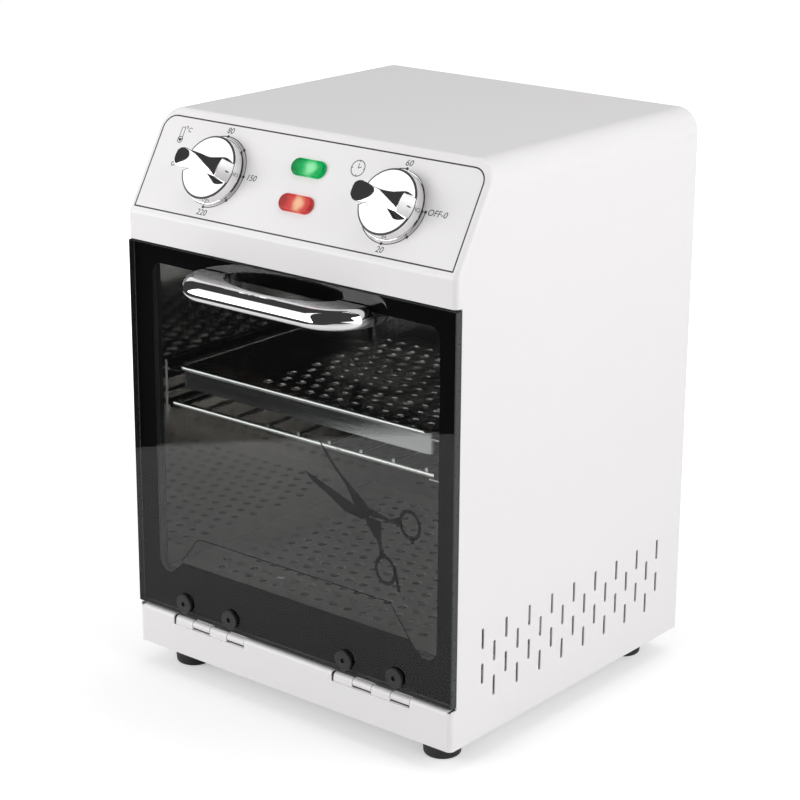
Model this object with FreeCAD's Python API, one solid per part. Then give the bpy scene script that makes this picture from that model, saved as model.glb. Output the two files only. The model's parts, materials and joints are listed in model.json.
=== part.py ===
import FreeCAD, Part
import math
import os

# Dry heat sterilizer for a bench top: a white steel cabinet with a slanted control panel,
# a glass door hinged along its bottom edge, a hot chamber with a perforated tray and a wire
# rack, and the heaters, controls and mains inlet that it needs inside.
# Millimetres. +X is the cabinet's right seen from the front, +Y its rear, +Z up. The origin
# is under the middle of the whole outline, on the surface that the feet stand on.

V = FreeCAD.Vector
RIGHT = V(1, 0, 0)
REAR = V(0, 1, 0)
UP = V(0, 0, 1)
SIDES = (-1, 1)

# Cabinet
body_width = 260.0
body_depth = 244.0
body_height = 351.0
sheet = 1.0
overrun = 2.0
slant_rise = 61.0
slant_depth = 36.0
long_edge_radius = 15.0
corner_radius = 3.5
fold_radius = 4.0
plinth_height = 26.0
plinth_bend_radius = 2.6
fascia_height = 17.5
flange_width = 10.0

# Feet
foot_height = 16.0
foot_top_radius = 13.0
foot_bottom_radius = 11.5
foot_edge_radius = 2.0
foot_inset_x = 25.2
foot_inset_y = 24.5
foot_bore_radius = 2.2
foot_screw_radius = 2.0
foot_head_radius = 4.0
foot_head_height = 2.4
foot_recess_radius = 4.6
foot_recess_depth = 7.0
foot_nut_width = 7.0
foot_nut_height = 3.2
thread_end = 1.0

# Door
door_thickness = 5.0
door_foot_gap = 2.0
door_head_gap = 1.0
door_seat_gap = 0.3
glass_chamfer = 0.5
print_thickness = 0.15
print_margin = 1.2
window_side_border = 15.2
window_head_border = 12.8
window_foot_border = 24.6
window_step_rise = 9.2
window_corner_radius = 8.0
step_inset = 20.8
step_foot_inset = 10.8

# Door handle
handle_drop = 7.9
handle_height = 12.0
handle_reach = 30.0
handle_half_width = 71.5
handle_shoulder = 58.0
handle_shoulder_reach = 21.5
handle_grip_half_width = 45.0
handle_grip_depth = 20.5
handle_grip_shoulder = 33.0
handle_grip_shoulder_depth = 16.0
handle_edge_radius = 4.5
handle_inner_edge_radius = 1.2
handle_corner_radius = 6.0
handle_screw_inset = 14.5
handle_screw_radius = 2.0
handle_screw_depth = 12.0
handle_head_radius = 3.5
handle_head_height = 2.2
handle_washer_radius = 4.5
handle_washer_thickness = 0.6
bolt_clearance = 0.4

# Hinges at the door's bottom edge
hinge_length = 60.0
hinge_inset = 62.4
hinge_axis_drop = 3.6
knuckle_radius = 2.6
knuckle_count = 4
knuckle_gap = 0.3
hinge_pin_radius = 1.3
hinge_pin_gap = 0.05
hinge_pin_head_radius = 1.9
hinge_pin_head_length = 0.8
leaf_thickness = 1.2
leaf_relief_gap = 0.4
door_leaf_margin = 8.2
fixed_leaf_bottom = 6.0
notch_gap = 1.0
door_screw_spacing = 40.0
door_screw_rise = 8.8
door_screw_radius = 2.0
door_head_radius = 6.4
door_head_height = 1.8
door_head_chamfer = 0.5
door_socket_width = 3.0
door_socket_depth = 1.3
door_washer_radius = 6.0
door_washer_thickness = 0.4
door_nut_width = 7.0
door_nut_height = 2.3

# Seal and magnetic catch
frame_setback = 9.5
seal_width = 4.0
seal_inset_x = 3.5
seal_inset_foot = 2.4
seal_corner_radius = 6.0
catch_half_width = 20.0
catch_rise = 0.5
catch_height = 4.5
strike_thickness = 1.0

# Hot chamber
chamber_side_gap = 18.0
chamber_rear_gap = 26.0
chamber_floor = 54.0
chamber_head_gap = 10.5
heater_space = 22.0
liner_sheet = 0.8
liner_flange_width = 12.0
floor_plate_gap = 0.3
floor_plate_sheet = 1.0
perforation_radius = 3.5
perforation_pitch = 12.0
floor_perforation_margin_x = 16.0
floor_perforation_margin_y = 14.0

# Insulation around the chamber
insulation_thickness = 12.0
side_insulation_rise = 24.0
side_insulation_gap = 1.2
shield_gap = 1.2
shield_front_gap = 1.5

# Tray
tray_side_gap = 10.6
tray_front = 15.3
tray_rear_gap = 14.7
tray_height = 15.2
tray_rim_rise = 138.0
tray_wall = 0.8
tray_bead_radius = 1.7
tray_corner_radius = 5.0
tray_bead_bite = 0.3
tray_perforation_side = 35.4
tray_perforation_front = 28.0
tray_perforation_rear = 24.0

# Wire rack
rack_rod_radius = 1.8
rack_wire_radius = 1.3
rack_tray_drop = 11.2
rack_side_gap = 6.2
rack_front = 13.5
rack_rear_gap = 14.5
rack_wire_inset = 5.8
rack_wires_each_side = 4
rack_weld_bite = 0.4
rack_wire_overhang = 1.2

# Shelf runners on the chamber's side walls
runner_sheet = 1.0
runner_ledge_reach = 10.2
runner_top_margin = 5.0
runner_bottom_margin = 10.0
runner_front_gap = 2.0
runner_rear_gap = 2.0
slide_gap = 0.3

# Tubular heaters
heater_radius = 3.25
lower_heater_rise = 11.0
upper_heater_drop = 8.5
heater_front = 60.0
heater_rear = 48.0
heater_bend_radius = 20.0
heater_loop_inset = 22.0
heater_end_reach = 5.0
heater_bush_radius = 6.0
heater_bush_length = 3.0
heater_pin_radius = 1.5
heater_pin_length = 6.0
heater_clip_width = 10.0
heater_clip_sheet = 1.0
heater_clip_inset = 52.0
terminal_pocket = 22.0

# Chamber stand on the base plate
stand_depth = 16.0
stand_side_inset = 22.0
stand_inset = 6.0

# Slanted control panel: places along the panel are measured up the slope from its fold
dial_inset = 59.8
dial_height = 34.6
lamp_length = 26.4
lamp_width = 11.0
lamp_dome = 2.2
lamp_edge_radius = 1.8
green_lamp_height = 47.2
red_lamp_height = 24.7
lamp_neck_inset = 1.2
lamp_body_depth = 18.0
lamp_blade_width = 4.8
lamp_blade_thickness = 0.8
lamp_blade_length = 7.0
lamp_blade_spacing = 12.0

# Knobs
knob_lift = 0.6
knob_lip_radius = 21.8
knob_lip_height = 1.2
knob_skirt_radius = 21.2
knob_face_radius = 20.3
knob_face_height = 7.8
knob_face_edge_radius = 0.8
knob_wall = 1.6
knob_hub_radius = 5.5
grip_height = 18.6
grip_nose = 17.8
grip_nose_shoulder = 15.6
grip_nose_half_width = 5.9
grip_waist = 3.0
grip_waist_half_width = 4.6
grip_tail = 18.6
grip_tail_half_width = 7.2
grip_tail_bulge = 1.0
grip_slope_start = 14.0
grip_saddle_radius = 62.0
grip_saddle_centre = 2.0
grip_saddle_depth = 1.7
grip_edge_radius = 0.7
pointer_groove_width = 0.9
pointer_groove_depth = 0.4
rest_turn_degrees = 4.0
shaft_radius = 3.0
shaft_flat = 0.8
shaft_gap = 0.05
shaft_top = 14.0
shaft_tail = 6.0
shaft_seat_depth = 0.5

# Thermostat and timer behind the panel
control_plate_thickness = 1.2
control_plate_length = 44.0
control_plate_width = 16.0
control_screw_spacing = 28.0
control_screw_radius = 2.0
control_head_radius = 3.4
control_head_height = 2.2
control_screw_length = 4.5
panel_hole_radius = 5.0
thermostat_width = 40.0
thermostat_height = 34.0
thermostat_depth = 24.0
thermostat_neck_radius = 4.6
timer_case_radius = 23.0
timer_case_depth = 20.0
bell_radius = 16.0
bell_height = 7.0
bell_sheet = 0.9
bell_gap = 2.0
bell_post_radius = 2.5

# Thermostat bulb and its capillary tube
bulb_radius = 3.0
bulb_length = 80.0
bulb_drop = 16.0
bulb_wall_gap = 8.0
bulb_left = -20.0
capillary_radius = 1.0
capillary_bend_radius = 8.0
capillary_rise = 2.0
capillary_gap = 0.4
capillary_insert = 2.0
bulb_clip_width = 8.0
bulb_clip_sheet = 0.8
bulb_clip_inset = 14.0

# Over-temperature cut-out on the chamber's ceiling
cutout_radius = 7.0
cutout_height = 9.0
cutout_flange_length = 26.0
cutout_flange_width = 11.0
cutout_flange_thickness = 0.8
cutout_x = 30.0
cutout_y = 120.0
cutout_pocket = 32.0

# Terminal block on the heat shield
terminal_block_length = 58.0
terminal_block_width = 17.0
terminal_block_height = 14.0
terminal_block_x = 10.0
terminal_block_inset = 48.0
terminal_ways = 5
terminal_pitch = 11.0
terminal_screw_radius = 2.2
terminal_screw_height = 1.4
terminal_screw_sunk = 2.0

# Mains inlet, the common three-pin panel socket
inlet_inset = 46.0
inlet_drop = 39.0
inlet_flange_length = 50.0
inlet_flange_height = 24.0
inlet_flange_thickness = 2.0
inlet_body_width = 27.0
inlet_body_height = 20.0
inlet_body_depth = 18.0
inlet_recess_width = 24.2
inlet_recess_height = 16.8
inlet_recess_depth = 15.0
inlet_recess_chamfer = 3.6
inlet_pin_width = 2.0
inlet_pin_height = 4.0
inlet_pin_spacing = 14.0
inlet_pin_length = 10.0
inlet_earth_rise = 4.0
inlet_earth_extra = 1.0
inlet_pin_drop = 2.0
inlet_tail_length = 8.0
inlet_screw_spacing = 40.0
inlet_screw_radius = 1.5
inlet_head_radius = 2.9

# Vent slots in the casing's sides, the rear panel and the base plate
slot_width = 2.3
slot_length = 13.6
slot_last_inset = 26.8
slot_row_pitch = 22.6
slot_first_inset = 30.0
slot_columns = 17
slot_low_centre = 30.0
rear_slot_columns = 12
rear_upper_slot_drop = 39.0
rear_slot_inset = 30.0
rear_slot_far_inset = 101.3
base_slot_columns = 9
base_slot_pitch = 15.0
base_slot_length = 24.0

# Small screws
panel_gap = 0.4
rear_screw_radius = 1.5
rear_head_radius = 2.8
rear_head_height = 2.0
rear_screw_length = 5.0
base_screw_radius = 1.5
base_head_radius = 3.4
base_head_height = 2.3
base_screw_length = 4.5
base_screw_inset = 44.0
base_side_screw_y = 28.8

# Cabinet places worked out from the sizes above
half_width = body_width / 2
face_y = -(body_depth + rear_head_height - handle_reach) / 2
back_y = face_y + body_depth
base_z = foot_height
pan_top = base_z + 2 * sheet
top_z = base_z + body_height
fold_z = top_z - slant_rise
fascia_z = fold_z - fascia_height
plinth_z = base_z + plinth_height
slant = math.atan2(slant_depth, slant_rise)
frame_y = face_y + frame_setback
foot_x = half_width - foot_inset_x
foot_ys = (face_y + foot_inset_y, back_y - foot_inset_y)
rear_slot_z = top_z - rear_upper_slot_drop
slot_pitch = (body_depth - slot_first_inset - slot_last_inset) / (slot_columns - 1)
rear_slot_pitch = (body_width - rear_slot_inset - rear_slot_far_inset) / (rear_slot_columns - 1)

# Chamber places
chamber_half_width = half_width - chamber_side_gap
liner_front = frame_y + sheet
liner_back = back_y - chamber_rear_gap
floor_z = base_z + chamber_floor
ceiling_z = fascia_z - chamber_head_gap
underside_z = floor_z - heater_space
shield_z = ceiling_z + liner_sheet + insulation_thickness + shield_gap
side_insulation_thickness = chamber_side_gap - sheet - liner_sheet - side_insulation_gap
lower_heater_z = underside_z + lower_heater_rise
upper_heater_z = ceiling_z - upper_heater_drop
heater_ys = (face_y + heater_front, liner_back - heater_rear)
tray_half_width = chamber_half_width - tray_side_gap
tray_top_z = floor_z + tray_rim_rise
tray_low_z = tray_top_z - tray_height
rack_half_width = chamber_half_width - rack_side_gap
rack_wire_pitch = (rack_half_width - rack_wire_inset) / rack_wires_each_side
rack_rod_z = tray_low_z - rack_tray_drop
stand_half_width = chamber_half_width - stand_side_inset

# Door places
glass_back = face_y + door_thickness
print_back = glass_back + print_thickness
door_low_z = plinth_z + door_foot_gap
door_high_z = fascia_z - door_head_gap
hinge_y = face_y + sheet + knuckle_radius
hinge_z = plinth_z - hinge_axis_drop
hinge_centres = [side * (half_width - hinge_inset) for side in SIDES]
door_screw_z = door_low_z + door_screw_rise
window_half_width = half_width - window_side_border
window_low_z = door_low_z + window_foot_border
window_high_z = door_high_z - window_head_border
seal_half_width = chamber_half_width + seal_inset_x
seal_low_z = floor_z - seal_inset_foot
catch_z = ceiling_z + seal_width + catch_rise
handle_z = door_high_z - handle_drop - handle_height
handle_screw_x = handle_half_width - handle_screw_inset

# Places of the controls and the mains inlet
dial_x = half_width - dial_inset
capillary_x = -dial_x
inlet_x = half_width - inlet_inset
inlet_z = top_z - inlet_drop
rest_turn = -rest_turn_degrees


def box(x_range, y_range, z_range):
    size = [high - low for low, high in (x_range, y_range, z_range)]
    return Part.makeBox(*size, V(x_range[0], y_range[0], z_range[0]))


def mirrored(shape):
    return shape.mirror(V(0, 0, 0), RIGHT)


def both_sides(shape):
    return [shape, mirrored(shape)]


def wire(start, *steps):
    """A run of lines; a pair (middle, end) is an arc through the middle point."""
    edges = []
    here = start
    for step in steps:
        if isinstance(step, tuple):
            edges.append(Part.Arc(here, step[0], step[1]).toShape())
            here = step[1]
        else:
            edges.append(Part.makeLine(here, step))
            here = step
    return Part.Wire(edges)


def prism(outline, sweep):
    return Part.Face(outline).extrude(sweep)


def rounded_rectangle(x_range, y_range, radius, z=0.0):
    x0, x1 = x_range
    y0, y1 = y_range
    inset = radius * (1 - math.sqrt(0.5))
    return wire(
        V(x0 + radius, y0, z),
        V(x1 - radius, y0, z),
        (V(x1 - inset, y0 + inset, z), V(x1, y0 + radius, z)),
        V(x1, y1 - radius, z),
        (V(x1 - inset, y1 - inset, z), V(x1 - radius, y1, z)),
        V(x0 + radius, y1, z),
        (V(x0 + inset, y1 - inset, z), V(x0, y1 - radius, z)),
        V(x0, y0 + radius, z),
        (V(x0 + inset, y0 + inset, z), V(x0 + radius, y0, z)),
    )


def obround(length, width, z=0.0):
    """An obround outline, long along X, centred on the Z axis."""
    run = (length - width) / 2
    radius = width / 2
    return wire(
        V(-run, -radius, z),
        V(run, -radius, z),
        (V(run + radius, 0, z), V(run, radius, z)),
        V(-run, radius, z),
        (V(-run - radius, 0, z), V(-run, -radius, z)),
    )


def hexagon(width, height, centre, axis):
    """A hexagonal prism, such as a nut or a socket, along the axis."""
    radius = width / math.sqrt(3)
    points = [V(radius * math.cos(turn), radius * math.sin(turn), 0)
              for turn in [math.pi * step / 3 for step in range(7)]]
    solid = prism(Part.makePolygon(points), UP * height)
    solid.Placement = FreeCAD.Placement(centre, FreeCAD.Rotation(UP, axis))
    return solid


def on_panel(shape, x, rise, turn=0.0):
    """Place a shape, drawn with +Z as the outward normal, on the slanted panel's face."""
    point = V(x, face_y + rise * math.sin(slant), fold_z + rise * math.cos(slant))
    lean = FreeCAD.Rotation(RIGHT, 90 - math.degrees(slant))
    placed = shape.copy()
    placed.Placement = FreeCAD.Placement(point, lean.multiply(FreeCAD.Rotation(UP, turn)))
    return placed


def edges_where(shape, test):
    return [edge for edge in shape.Edges if test(edge)]


def near(first, second):
    return abs(first - second) < overrun / 1000


def along(edge, axis):
    ends = [vertex.Point for vertex in edge.Vertexes]
    if len(ends) < 2 or not isinstance(edge.Curve, (Part.Line, Part.LineSegment)):
        return False
    return (ends[1] - ends[0]).cross(axis).Length < overrun / 1000


def pipe(points, bend_radii, radius):
    """A tube along straight runs joined by tangent arcs."""
    edges = []
    here = points[0]
    for index in range(1, len(points) - 1):
        corner = points[index]
        back = (points[index - 1] - corner).normalize()
        ahead = (points[index + 1] - corner).normalize()
        half_turn = back.getAngle(ahead) / 2
        bend = bend_radii
        start = corner + back * (bend / math.tan(half_turn))
        end = corner + ahead * (bend / math.tan(half_turn))
        bisector = (back + ahead).normalize()
        middle = corner + bisector * (bend / math.sin(half_turn) - bend)
        edges.append(Part.makeLine(here, start))
        edges.append(Part.Arc(start, middle, end).toShape())
        here = end
    edges.append(Part.makeLine(here, points[-1]))
    path = Part.Wire(edges)
    section = Part.Wire(Part.makeCircle(radius, points[0], points[1] - points[0]))
    return path.makePipeShell([section], True, True)


def save(name, *solids):
    shape = solids[0] if len(solids) == 1 else Part.makeCompound(list(solids))
    shape.exportStep("parts/" + name + ".step")


def casing_block(inset):
    """The cabinet's outer block, or the block that lies one inset inside it."""
    half = half_width - inset
    front = face_y + inset
    rear = back_y + (overrun if inset else 0)
    low = base_z + inset
    high = top_z - inset
    fold = fold_z - inset * math.sin(slant) + (inset - inset * math.cos(slant)) / math.tan(slant)
    crest = front + (high - fold) * math.tan(slant)
    outline = Part.makePolygon([
        V(-half, front, low),
        V(-half, front, fold),
        V(-half, crest, high),
        V(-half, rear, high),
        V(-half, rear, low),
        V(-half, front, low),
    ])
    block = prism(outline, RIGHT * 2 * half)
    block = block.makeFillet(long_edge_radius - inset, edges_where(
        block, lambda edge: along(edge, REAR) and near(edge.Vertexes[0].Z, high)))

    def on_front_rim(edge):
        ends = [vertex.Point for vertex in edge.Vertexes]
        if len(ends) < 2:
            return False
        middle = edge.valueAt((edge.FirstParameter + edge.LastParameter) / 2)
        if max(end.y for end in ends) > crest + overrun / 1000 or near(middle.z, low):
            return False
        upright = along(edge, UP) and near(middle.y, front)
        return upright or (middle.z > fold and not near(middle.y, front))

    block = block.makeFillet(corner_radius - inset, edges_where(block, on_front_rim))
    return block.makeFillet(fold_radius - inset, edges_where(
        block, lambda edge: along(edge, RIGHT) and near(edge.Vertexes[0].Z, fold)
        and near(edge.Vertexes[0].Y, front)))


def vent_slot(centre, sweep, long_axis, length):
    slot = prism(obround(length, slot_width), UP * sweep.Length)
    across = sweep.cross(long_axis)
    axes = FreeCAD.Matrix(
        long_axis.x, across.x / sweep.Length, sweep.x / sweep.Length, centre.x,
        long_axis.y, across.y / sweep.Length, sweep.y / sweep.Length, centre.y,
        long_axis.z, across.z / sweep.Length, sweep.z / sweep.Length, centre.z,
        0, 0, 0, 1)
    slot.Placement = FreeCAD.Placement(axes)
    return slot


def side_slots():
    slots = []
    depth = RIGHT * (sheet + 2 * overrun)
    for column in range(slot_columns):
        low = slot_low_centre + (0 if column % 2 else slot_row_pitch / 2)
        for row in range(2):
            y = face_y + slot_first_inset + column * slot_pitch
            z = base_z + low + row * slot_row_pitch
            centre = V(half_width - sheet - overrun, y, z)
            slots.append(vent_slot(centre, depth, UP, slot_length))
    return Part.makeCompound(slots)


def plinth_top():
    """The plinth's rounded top edge and its return towards the chamber's frame."""
    half = half_width - corner_radius
    high = plinth_z
    bend = plinth_bend_radius

    def block(inset):
        solid = box((-half, half), (face_y + inset, frame_y),
                    (high - 2 * bend, high - inset))
        return solid.makeFillet(bend - inset, edges_where(
            solid, lambda edge: along(edge, RIGHT) and near(edge.Vertexes[0].Z, high - inset)
            and near(edge.Vertexes[0].Y, face_y + inset)))

    below = box((-half, half), (face_y + sheet, frame_y + overrun),
                (high - 2 * bend - overrun, high - bend - sheet / 2))
    return block(0).cut(block(sheet)).cut(below)


def hinge_notch(centre_x):
    reach = hinge_length / 2 + notch_gap
    return box((centre_x - reach, centre_x + reach),
               (face_y - overrun, hinge_y + knuckle_radius + notch_gap),
               (hinge_z - knuckle_radius - leaf_relief_gap, plinth_z + overrun))


def base_screw_places():
    """Where the domed screws go up through the casing's bottom flange."""
    inset = flange_width / 2
    places = [(side * (half_width - base_screw_inset), y)
              for side in SIDES for y in (face_y + inset, back_y - inset)]
    return places + [(side * (half_width - inset), face_y + base_side_screw_y)
                     for side in SIDES]


def rear_screw_places():
    inset = sheet + flange_width / 2
    heights = (base_z + flange_width * 2, base_z + body_height / 2,
               top_z - long_edge_radius * 2)
    return [(side * (half_width - inset), height) for side in SIDES for height in heights]


def outer_casing():
    inner = casing_block(sheet)
    shell = casing_block(0).cut(inner)
    everywhere = (-half_width - overrun, half_width + overrun)
    shell = shell.cut(box(everywhere, (face_y - overrun, glass_back + door_seat_gap),
                          (plinth_z, fascia_z)))
    clear = half_width - sheet
    shell = shell.cut(box((-clear, clear), (face_y - overrun, glass_back + door_seat_gap),
                          (plinth_z - sheet, fascia_z)))
    plinth_cut = half_width - corner_radius
    shell = shell.cut(box((-plinth_cut, plinth_cut), (face_y - overrun, face_y + 2 * sheet),
                          (plinth_z - 2 * plinth_bend_radius, plinth_z + overrun)))
    shell = shell.fuse(plinth_top())
    shell = shell.cut(box((-clear + flange_width, clear - flange_width),
                          (face_y + sheet + flange_width, back_y - sheet - flange_width),
                          (base_z - overrun, base_z + sheet + overrun)))
    rear_slab = box(everywhere, (back_y - 2 * sheet, back_y - sheet), (base_z, top_z))
    rear_hole = box((-clear + flange_width, clear - flange_width),
                    (back_y - 3 * sheet, back_y),
                    (base_z + sheet + flange_width, top_z - sheet - flange_width))
    shell = shell.fuse(inner.common(rear_slab).cut(rear_hole))
    for centre_x in hinge_centres:
        shell = shell.cut(hinge_notch(centre_x))
    slots = side_slots()
    shell = shell.cut(slots).cut(mirrored(slots))
    for x, y in base_screw_places():
        shell = shell.cut(Part.makeCylinder(base_screw_radius, sheet + 2 * overrun,
                                            V(x, y, base_z - overrun), UP))
    for x, z in rear_screw_places():
        shell = shell.cut(Part.makeCylinder(rear_screw_radius, sheet + 2 * overrun,
                                            V(x, back_y - 2 * sheet - overrun, z), REAR))
    cutter = Part.makeCylinder(panel_hole_radius, 2 * overrun + sheet, V(0, 0, -overrun - sheet), UP)
    screw_cutters = control_screw_holes()
    for side in SIDES:
        shell = shell.cut(on_panel(cutter, side * dial_x, dial_height))
        for hole in screw_cutters:
            shell = shell.cut(on_panel(hole, side * dial_x, dial_height))
    neck = prism(obround(lamp_length - 2 * lamp_neck_inset, lamp_width - 2 * lamp_neck_inset,
                         -overrun - sheet), UP * (2 * overrun + sheet))
    for rise in (green_lamp_height, red_lamp_height):
        shell = shell.cut(on_panel(neck, 0, rise))
    return shell.removeSplitter()


def control_screw_holes():
    return [Part.makeCylinder(control_screw_radius, sheet + 2 * overrun,
                              V(side * control_screw_spacing / 2, 0, -sheet - overrun), UP)
            for side in SIDES]


def base_plate():
    plate = casing_block(sheet).common(box((-half_width, half_width), (face_y, back_y - 2 * sheet),
                                           (base_z, pan_top)))
    for x in (-foot_x, foot_x):
        for y in foot_ys:
            plate = plate.cut(Part.makeCylinder(foot_screw_radius, sheet + 2 * overrun,
                                                V(x, y, base_z - overrun), UP))
    for x, y in base_screw_places():
        plate = plate.cut(Part.makeCylinder(base_screw_radius, sheet + 2 * overrun,
                                            V(x, y, base_z), UP))
    middle_y = (face_y + back_y) / 2
    for row in SIDES:
        for column in range(base_slot_columns):
            x = (column - (base_slot_columns - 1) / 2) * base_slot_pitch
            centre = V(x, middle_y + row * base_slot_length, base_z)
            plate = plate.cut(vent_slot(centre, UP * (sheet + 2 * overrun), REAR,
                                        base_slot_length))
    return plate


def base_screws():
    screws = []
    for x, y in base_screw_places():
        dome_radius = (base_head_radius ** 2 + base_head_height ** 2) / (2 * base_head_height)
        ball = Part.makeSphere(dome_radius, V(x, y, base_z - base_head_height + dome_radius))
        head = ball.common(Part.makeCylinder(base_head_radius, base_head_height,
                                             V(x, y, base_z - base_head_height), UP))
        shank = Part.makeCylinder(base_screw_radius, base_screw_length, V(x, y, base_z), UP)
        screws.append(head.fuse(shank).removeSplitter())
    return screws


def feet():
    solids = []
    screws = []
    nuts = []
    for x in (-foot_x, foot_x):
        for y in foot_ys:
            height = base_z + sheet
            foot = Part.makeCone(foot_bottom_radius, foot_top_radius, height, V(x, y, 0), UP)
            foot = foot.makeFillet(foot_edge_radius, edges_where(
                foot, lambda edge: near(edge.BoundBox.ZMax, 0)))
            foot = foot.cut(Part.makeCylinder(foot_bore_radius, height, V(x, y, 0), UP))
            foot = foot.cut(Part.makeCylinder(foot_recess_radius, foot_recess_depth,
                                              V(x, y, 0), UP))
            solids.append(foot)
            head_z = foot_recess_depth - foot_head_height
            head = Part.makeCylinder(foot_head_radius, foot_head_height, V(x, y, head_z), UP)
            reach = pan_top + foot_nut_height + thread_end - foot_recess_depth
            shank = Part.makeCylinder(foot_screw_radius, reach, V(x, y, foot_recess_depth), UP)
            screws.append(head.fuse(shank))
            nut = hexagon(foot_nut_width, foot_nut_height, V(x, y, pan_top), UP)
            nuts.append(nut.cut(Part.makeCylinder(foot_screw_radius, foot_nut_height,
                                                  V(x, y, pan_top), UP)))
    return solids, screws, nuts


def rear_panel():
    block = casing_block(sheet + panel_gap)
    wide = (-half_width, half_width)
    panel = block.common(box(wide, (back_y - sheet, back_y), (base_z, top_z)))
    for x, z in rear_screw_places():
        panel = panel.cut(Part.makeCylinder(rear_screw_radius, 2 * overrun,
                                            V(x, back_y - overrun, z), REAR))
    panel = panel.cut(box((inlet_x - inlet_body_width / 2, inlet_x + inlet_body_width / 2),
                          (back_y - overrun, back_y + overrun),
                          (inlet_z - inlet_body_height / 2, inlet_z + inlet_body_height / 2)))
    for side in SIDES:
        panel = panel.cut(Part.makeCylinder(
            inlet_screw_radius, 2 * overrun,
            V(inlet_x + side * inlet_screw_spacing / 2, back_y - overrun, inlet_z), REAR))
    slots = []
    for low in (base_z + slot_low_centre, rear_slot_z - slot_row_pitch / 2):
        for column in range(rear_slot_columns):
            for row in range(2):
                z = low + row * slot_row_pitch + (column % 2) * slot_row_pitch / 4
                centre = V(-half_width + rear_slot_inset + column * rear_slot_pitch,
                           back_y - overrun, z)
                slots.append(vent_slot(centre, REAR * 2 * overrun, UP, slot_length))
    return panel.cut(Part.makeCompound(slots))


def rear_screws():
    screws = []
    for x, z in rear_screw_places():
        head = Part.makeCylinder(rear_head_radius, rear_head_height, V(x, back_y, z), REAR)
        head = head.makeChamfer(rear_head_height / 4, edges_where(
            head, lambda edge: near(edge.BoundBox.YMin, back_y + rear_head_height)))
        shank = Part.makeCylinder(rear_screw_radius, rear_screw_length,
                                  V(x, back_y - rear_screw_length, z), REAR)
        screws.append(head.fuse(shank))
    return screws


def front_frame():
    wide = half_width - sheet
    high = (fascia_z + fold_z) / 2
    plate = box((-wide, wide), (frame_y, frame_y + sheet), (pan_top, high))
    opening = box((-chamber_half_width, chamber_half_width),
                  (frame_y - overrun, frame_y + overrun), (floor_z, ceiling_z))
    frame = plate.cut(opening)
    for side in both_sides(box((wide - sheet, wide), (frame_y, frame_y + flange_width),
                               (pan_top, high))):
        frame = frame.fuse(side)
    frame = frame.fuse(box((-wide, wide), (frame_y, frame_y + flange_width),
                           (high - sheet, high)))
    foot = box((-wide, wide), (frame_y, frame_y + flange_width), (pan_top, pan_top + sheet))
    return frame.fuse(foot).removeSplitter()


def door_seal():
    outer = rounded_rectangle((-seal_half_width - seal_width, seal_half_width + seal_width),
                              (seal_low_z - seal_width, ceiling_z + seal_width),
                              seal_corner_radius + seal_width)
    inner = rounded_rectangle((-seal_half_width, seal_half_width),
                              (seal_low_z, ceiling_z), seal_corner_radius)
    depth = frame_y - print_back - door_seat_gap
    ring = prism(outer, UP * depth).cut(prism(inner, UP * depth))
    ring = ring.makeChamfer(depth / 4, edges_where(
        ring, lambda edge: near(edge.BoundBox.ZMin, depth)))
    ring.rotate(V(0, 0, 0), RIGHT, 90)
    ring.translate(V(0, frame_y, 0))
    return ring


def catch_magnet():
    half = catch_half_width
    return box((-half, half), (print_back + strike_thickness + door_seat_gap, frame_y),
               (catch_z, catch_z + catch_height))


def catch_strike():
    return box((-catch_half_width, catch_half_width),
               (print_back, print_back + strike_thickness), (catch_z, catch_z + catch_height))


def liner_side(side):
    inner = chamber_half_width
    wall = box((inner, inner + liner_sheet), (liner_front, liner_back),
               (underside_z, ceiling_z))
    flange = box((inner, inner + liner_flange_width), (liner_front, liner_front + liner_sheet),
                 (underside_z, ceiling_z))
    wall = wall.fuse(flange)
    if side > 0:
        for z in (lower_heater_z, upper_heater_z):
            for y in heater_ys:
                wall = wall.cut(Part.makeCylinder(heater_radius, 2 * overrun,
                                                  V(inner - overrun, y, z), RIGHT))
        return wall.removeSplitter()
    return mirrored(wall.removeSplitter())


def liner_ceiling():
    wide = chamber_half_width + liner_sheet
    plate = box((-wide, wide), (liner_front, liner_back + liner_sheet),
                (ceiling_z, ceiling_z + liner_sheet))
    hole = Part.makeCylinder(capillary_radius + capillary_gap, 2 * overrun,
                             V(capillary_x, bulb_y(), ceiling_z - overrun), UP)
    return plate.cut(hole)


def liner_rear():
    wide = chamber_half_width + liner_sheet
    return box((-wide, wide), (liner_back, liner_back + liner_sheet), (underside_z, ceiling_z))


def liner_floor():
    wide = chamber_half_width + liner_sheet
    return box((-wide, wide), (liner_front, liner_back + liner_sheet),
               (underside_z - liner_sheet, underside_z))


def perforations(x_half, y_low, y_high):
    """Centres of a staggered hole pattern, kept on one pitch from the middle line."""
    rows = int((y_high - y_low) / perforation_pitch) + 1
    start = (y_low + y_high - (rows - 1) * perforation_pitch) / 2
    columns = int(x_half / perforation_pitch * 2)
    places = []
    for row in range(rows):
        for column in range(-columns, columns + 1):
            x = column * perforation_pitch / 2
            if (column + row) % 2 == 0 and abs(x) <= x_half:
                places.append((x, start + row * perforation_pitch))
    return places


def perforated_plate(outline, places, z, thickness):
    wires = [outline]
    for x, y in places:
        wires.append(Part.Wire(Part.makeCircle(perforation_radius, V(x, y, z), UP)))
    return Part.Face(wires, "Part::FaceMakerBullseye").extrude(UP * thickness)


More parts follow.
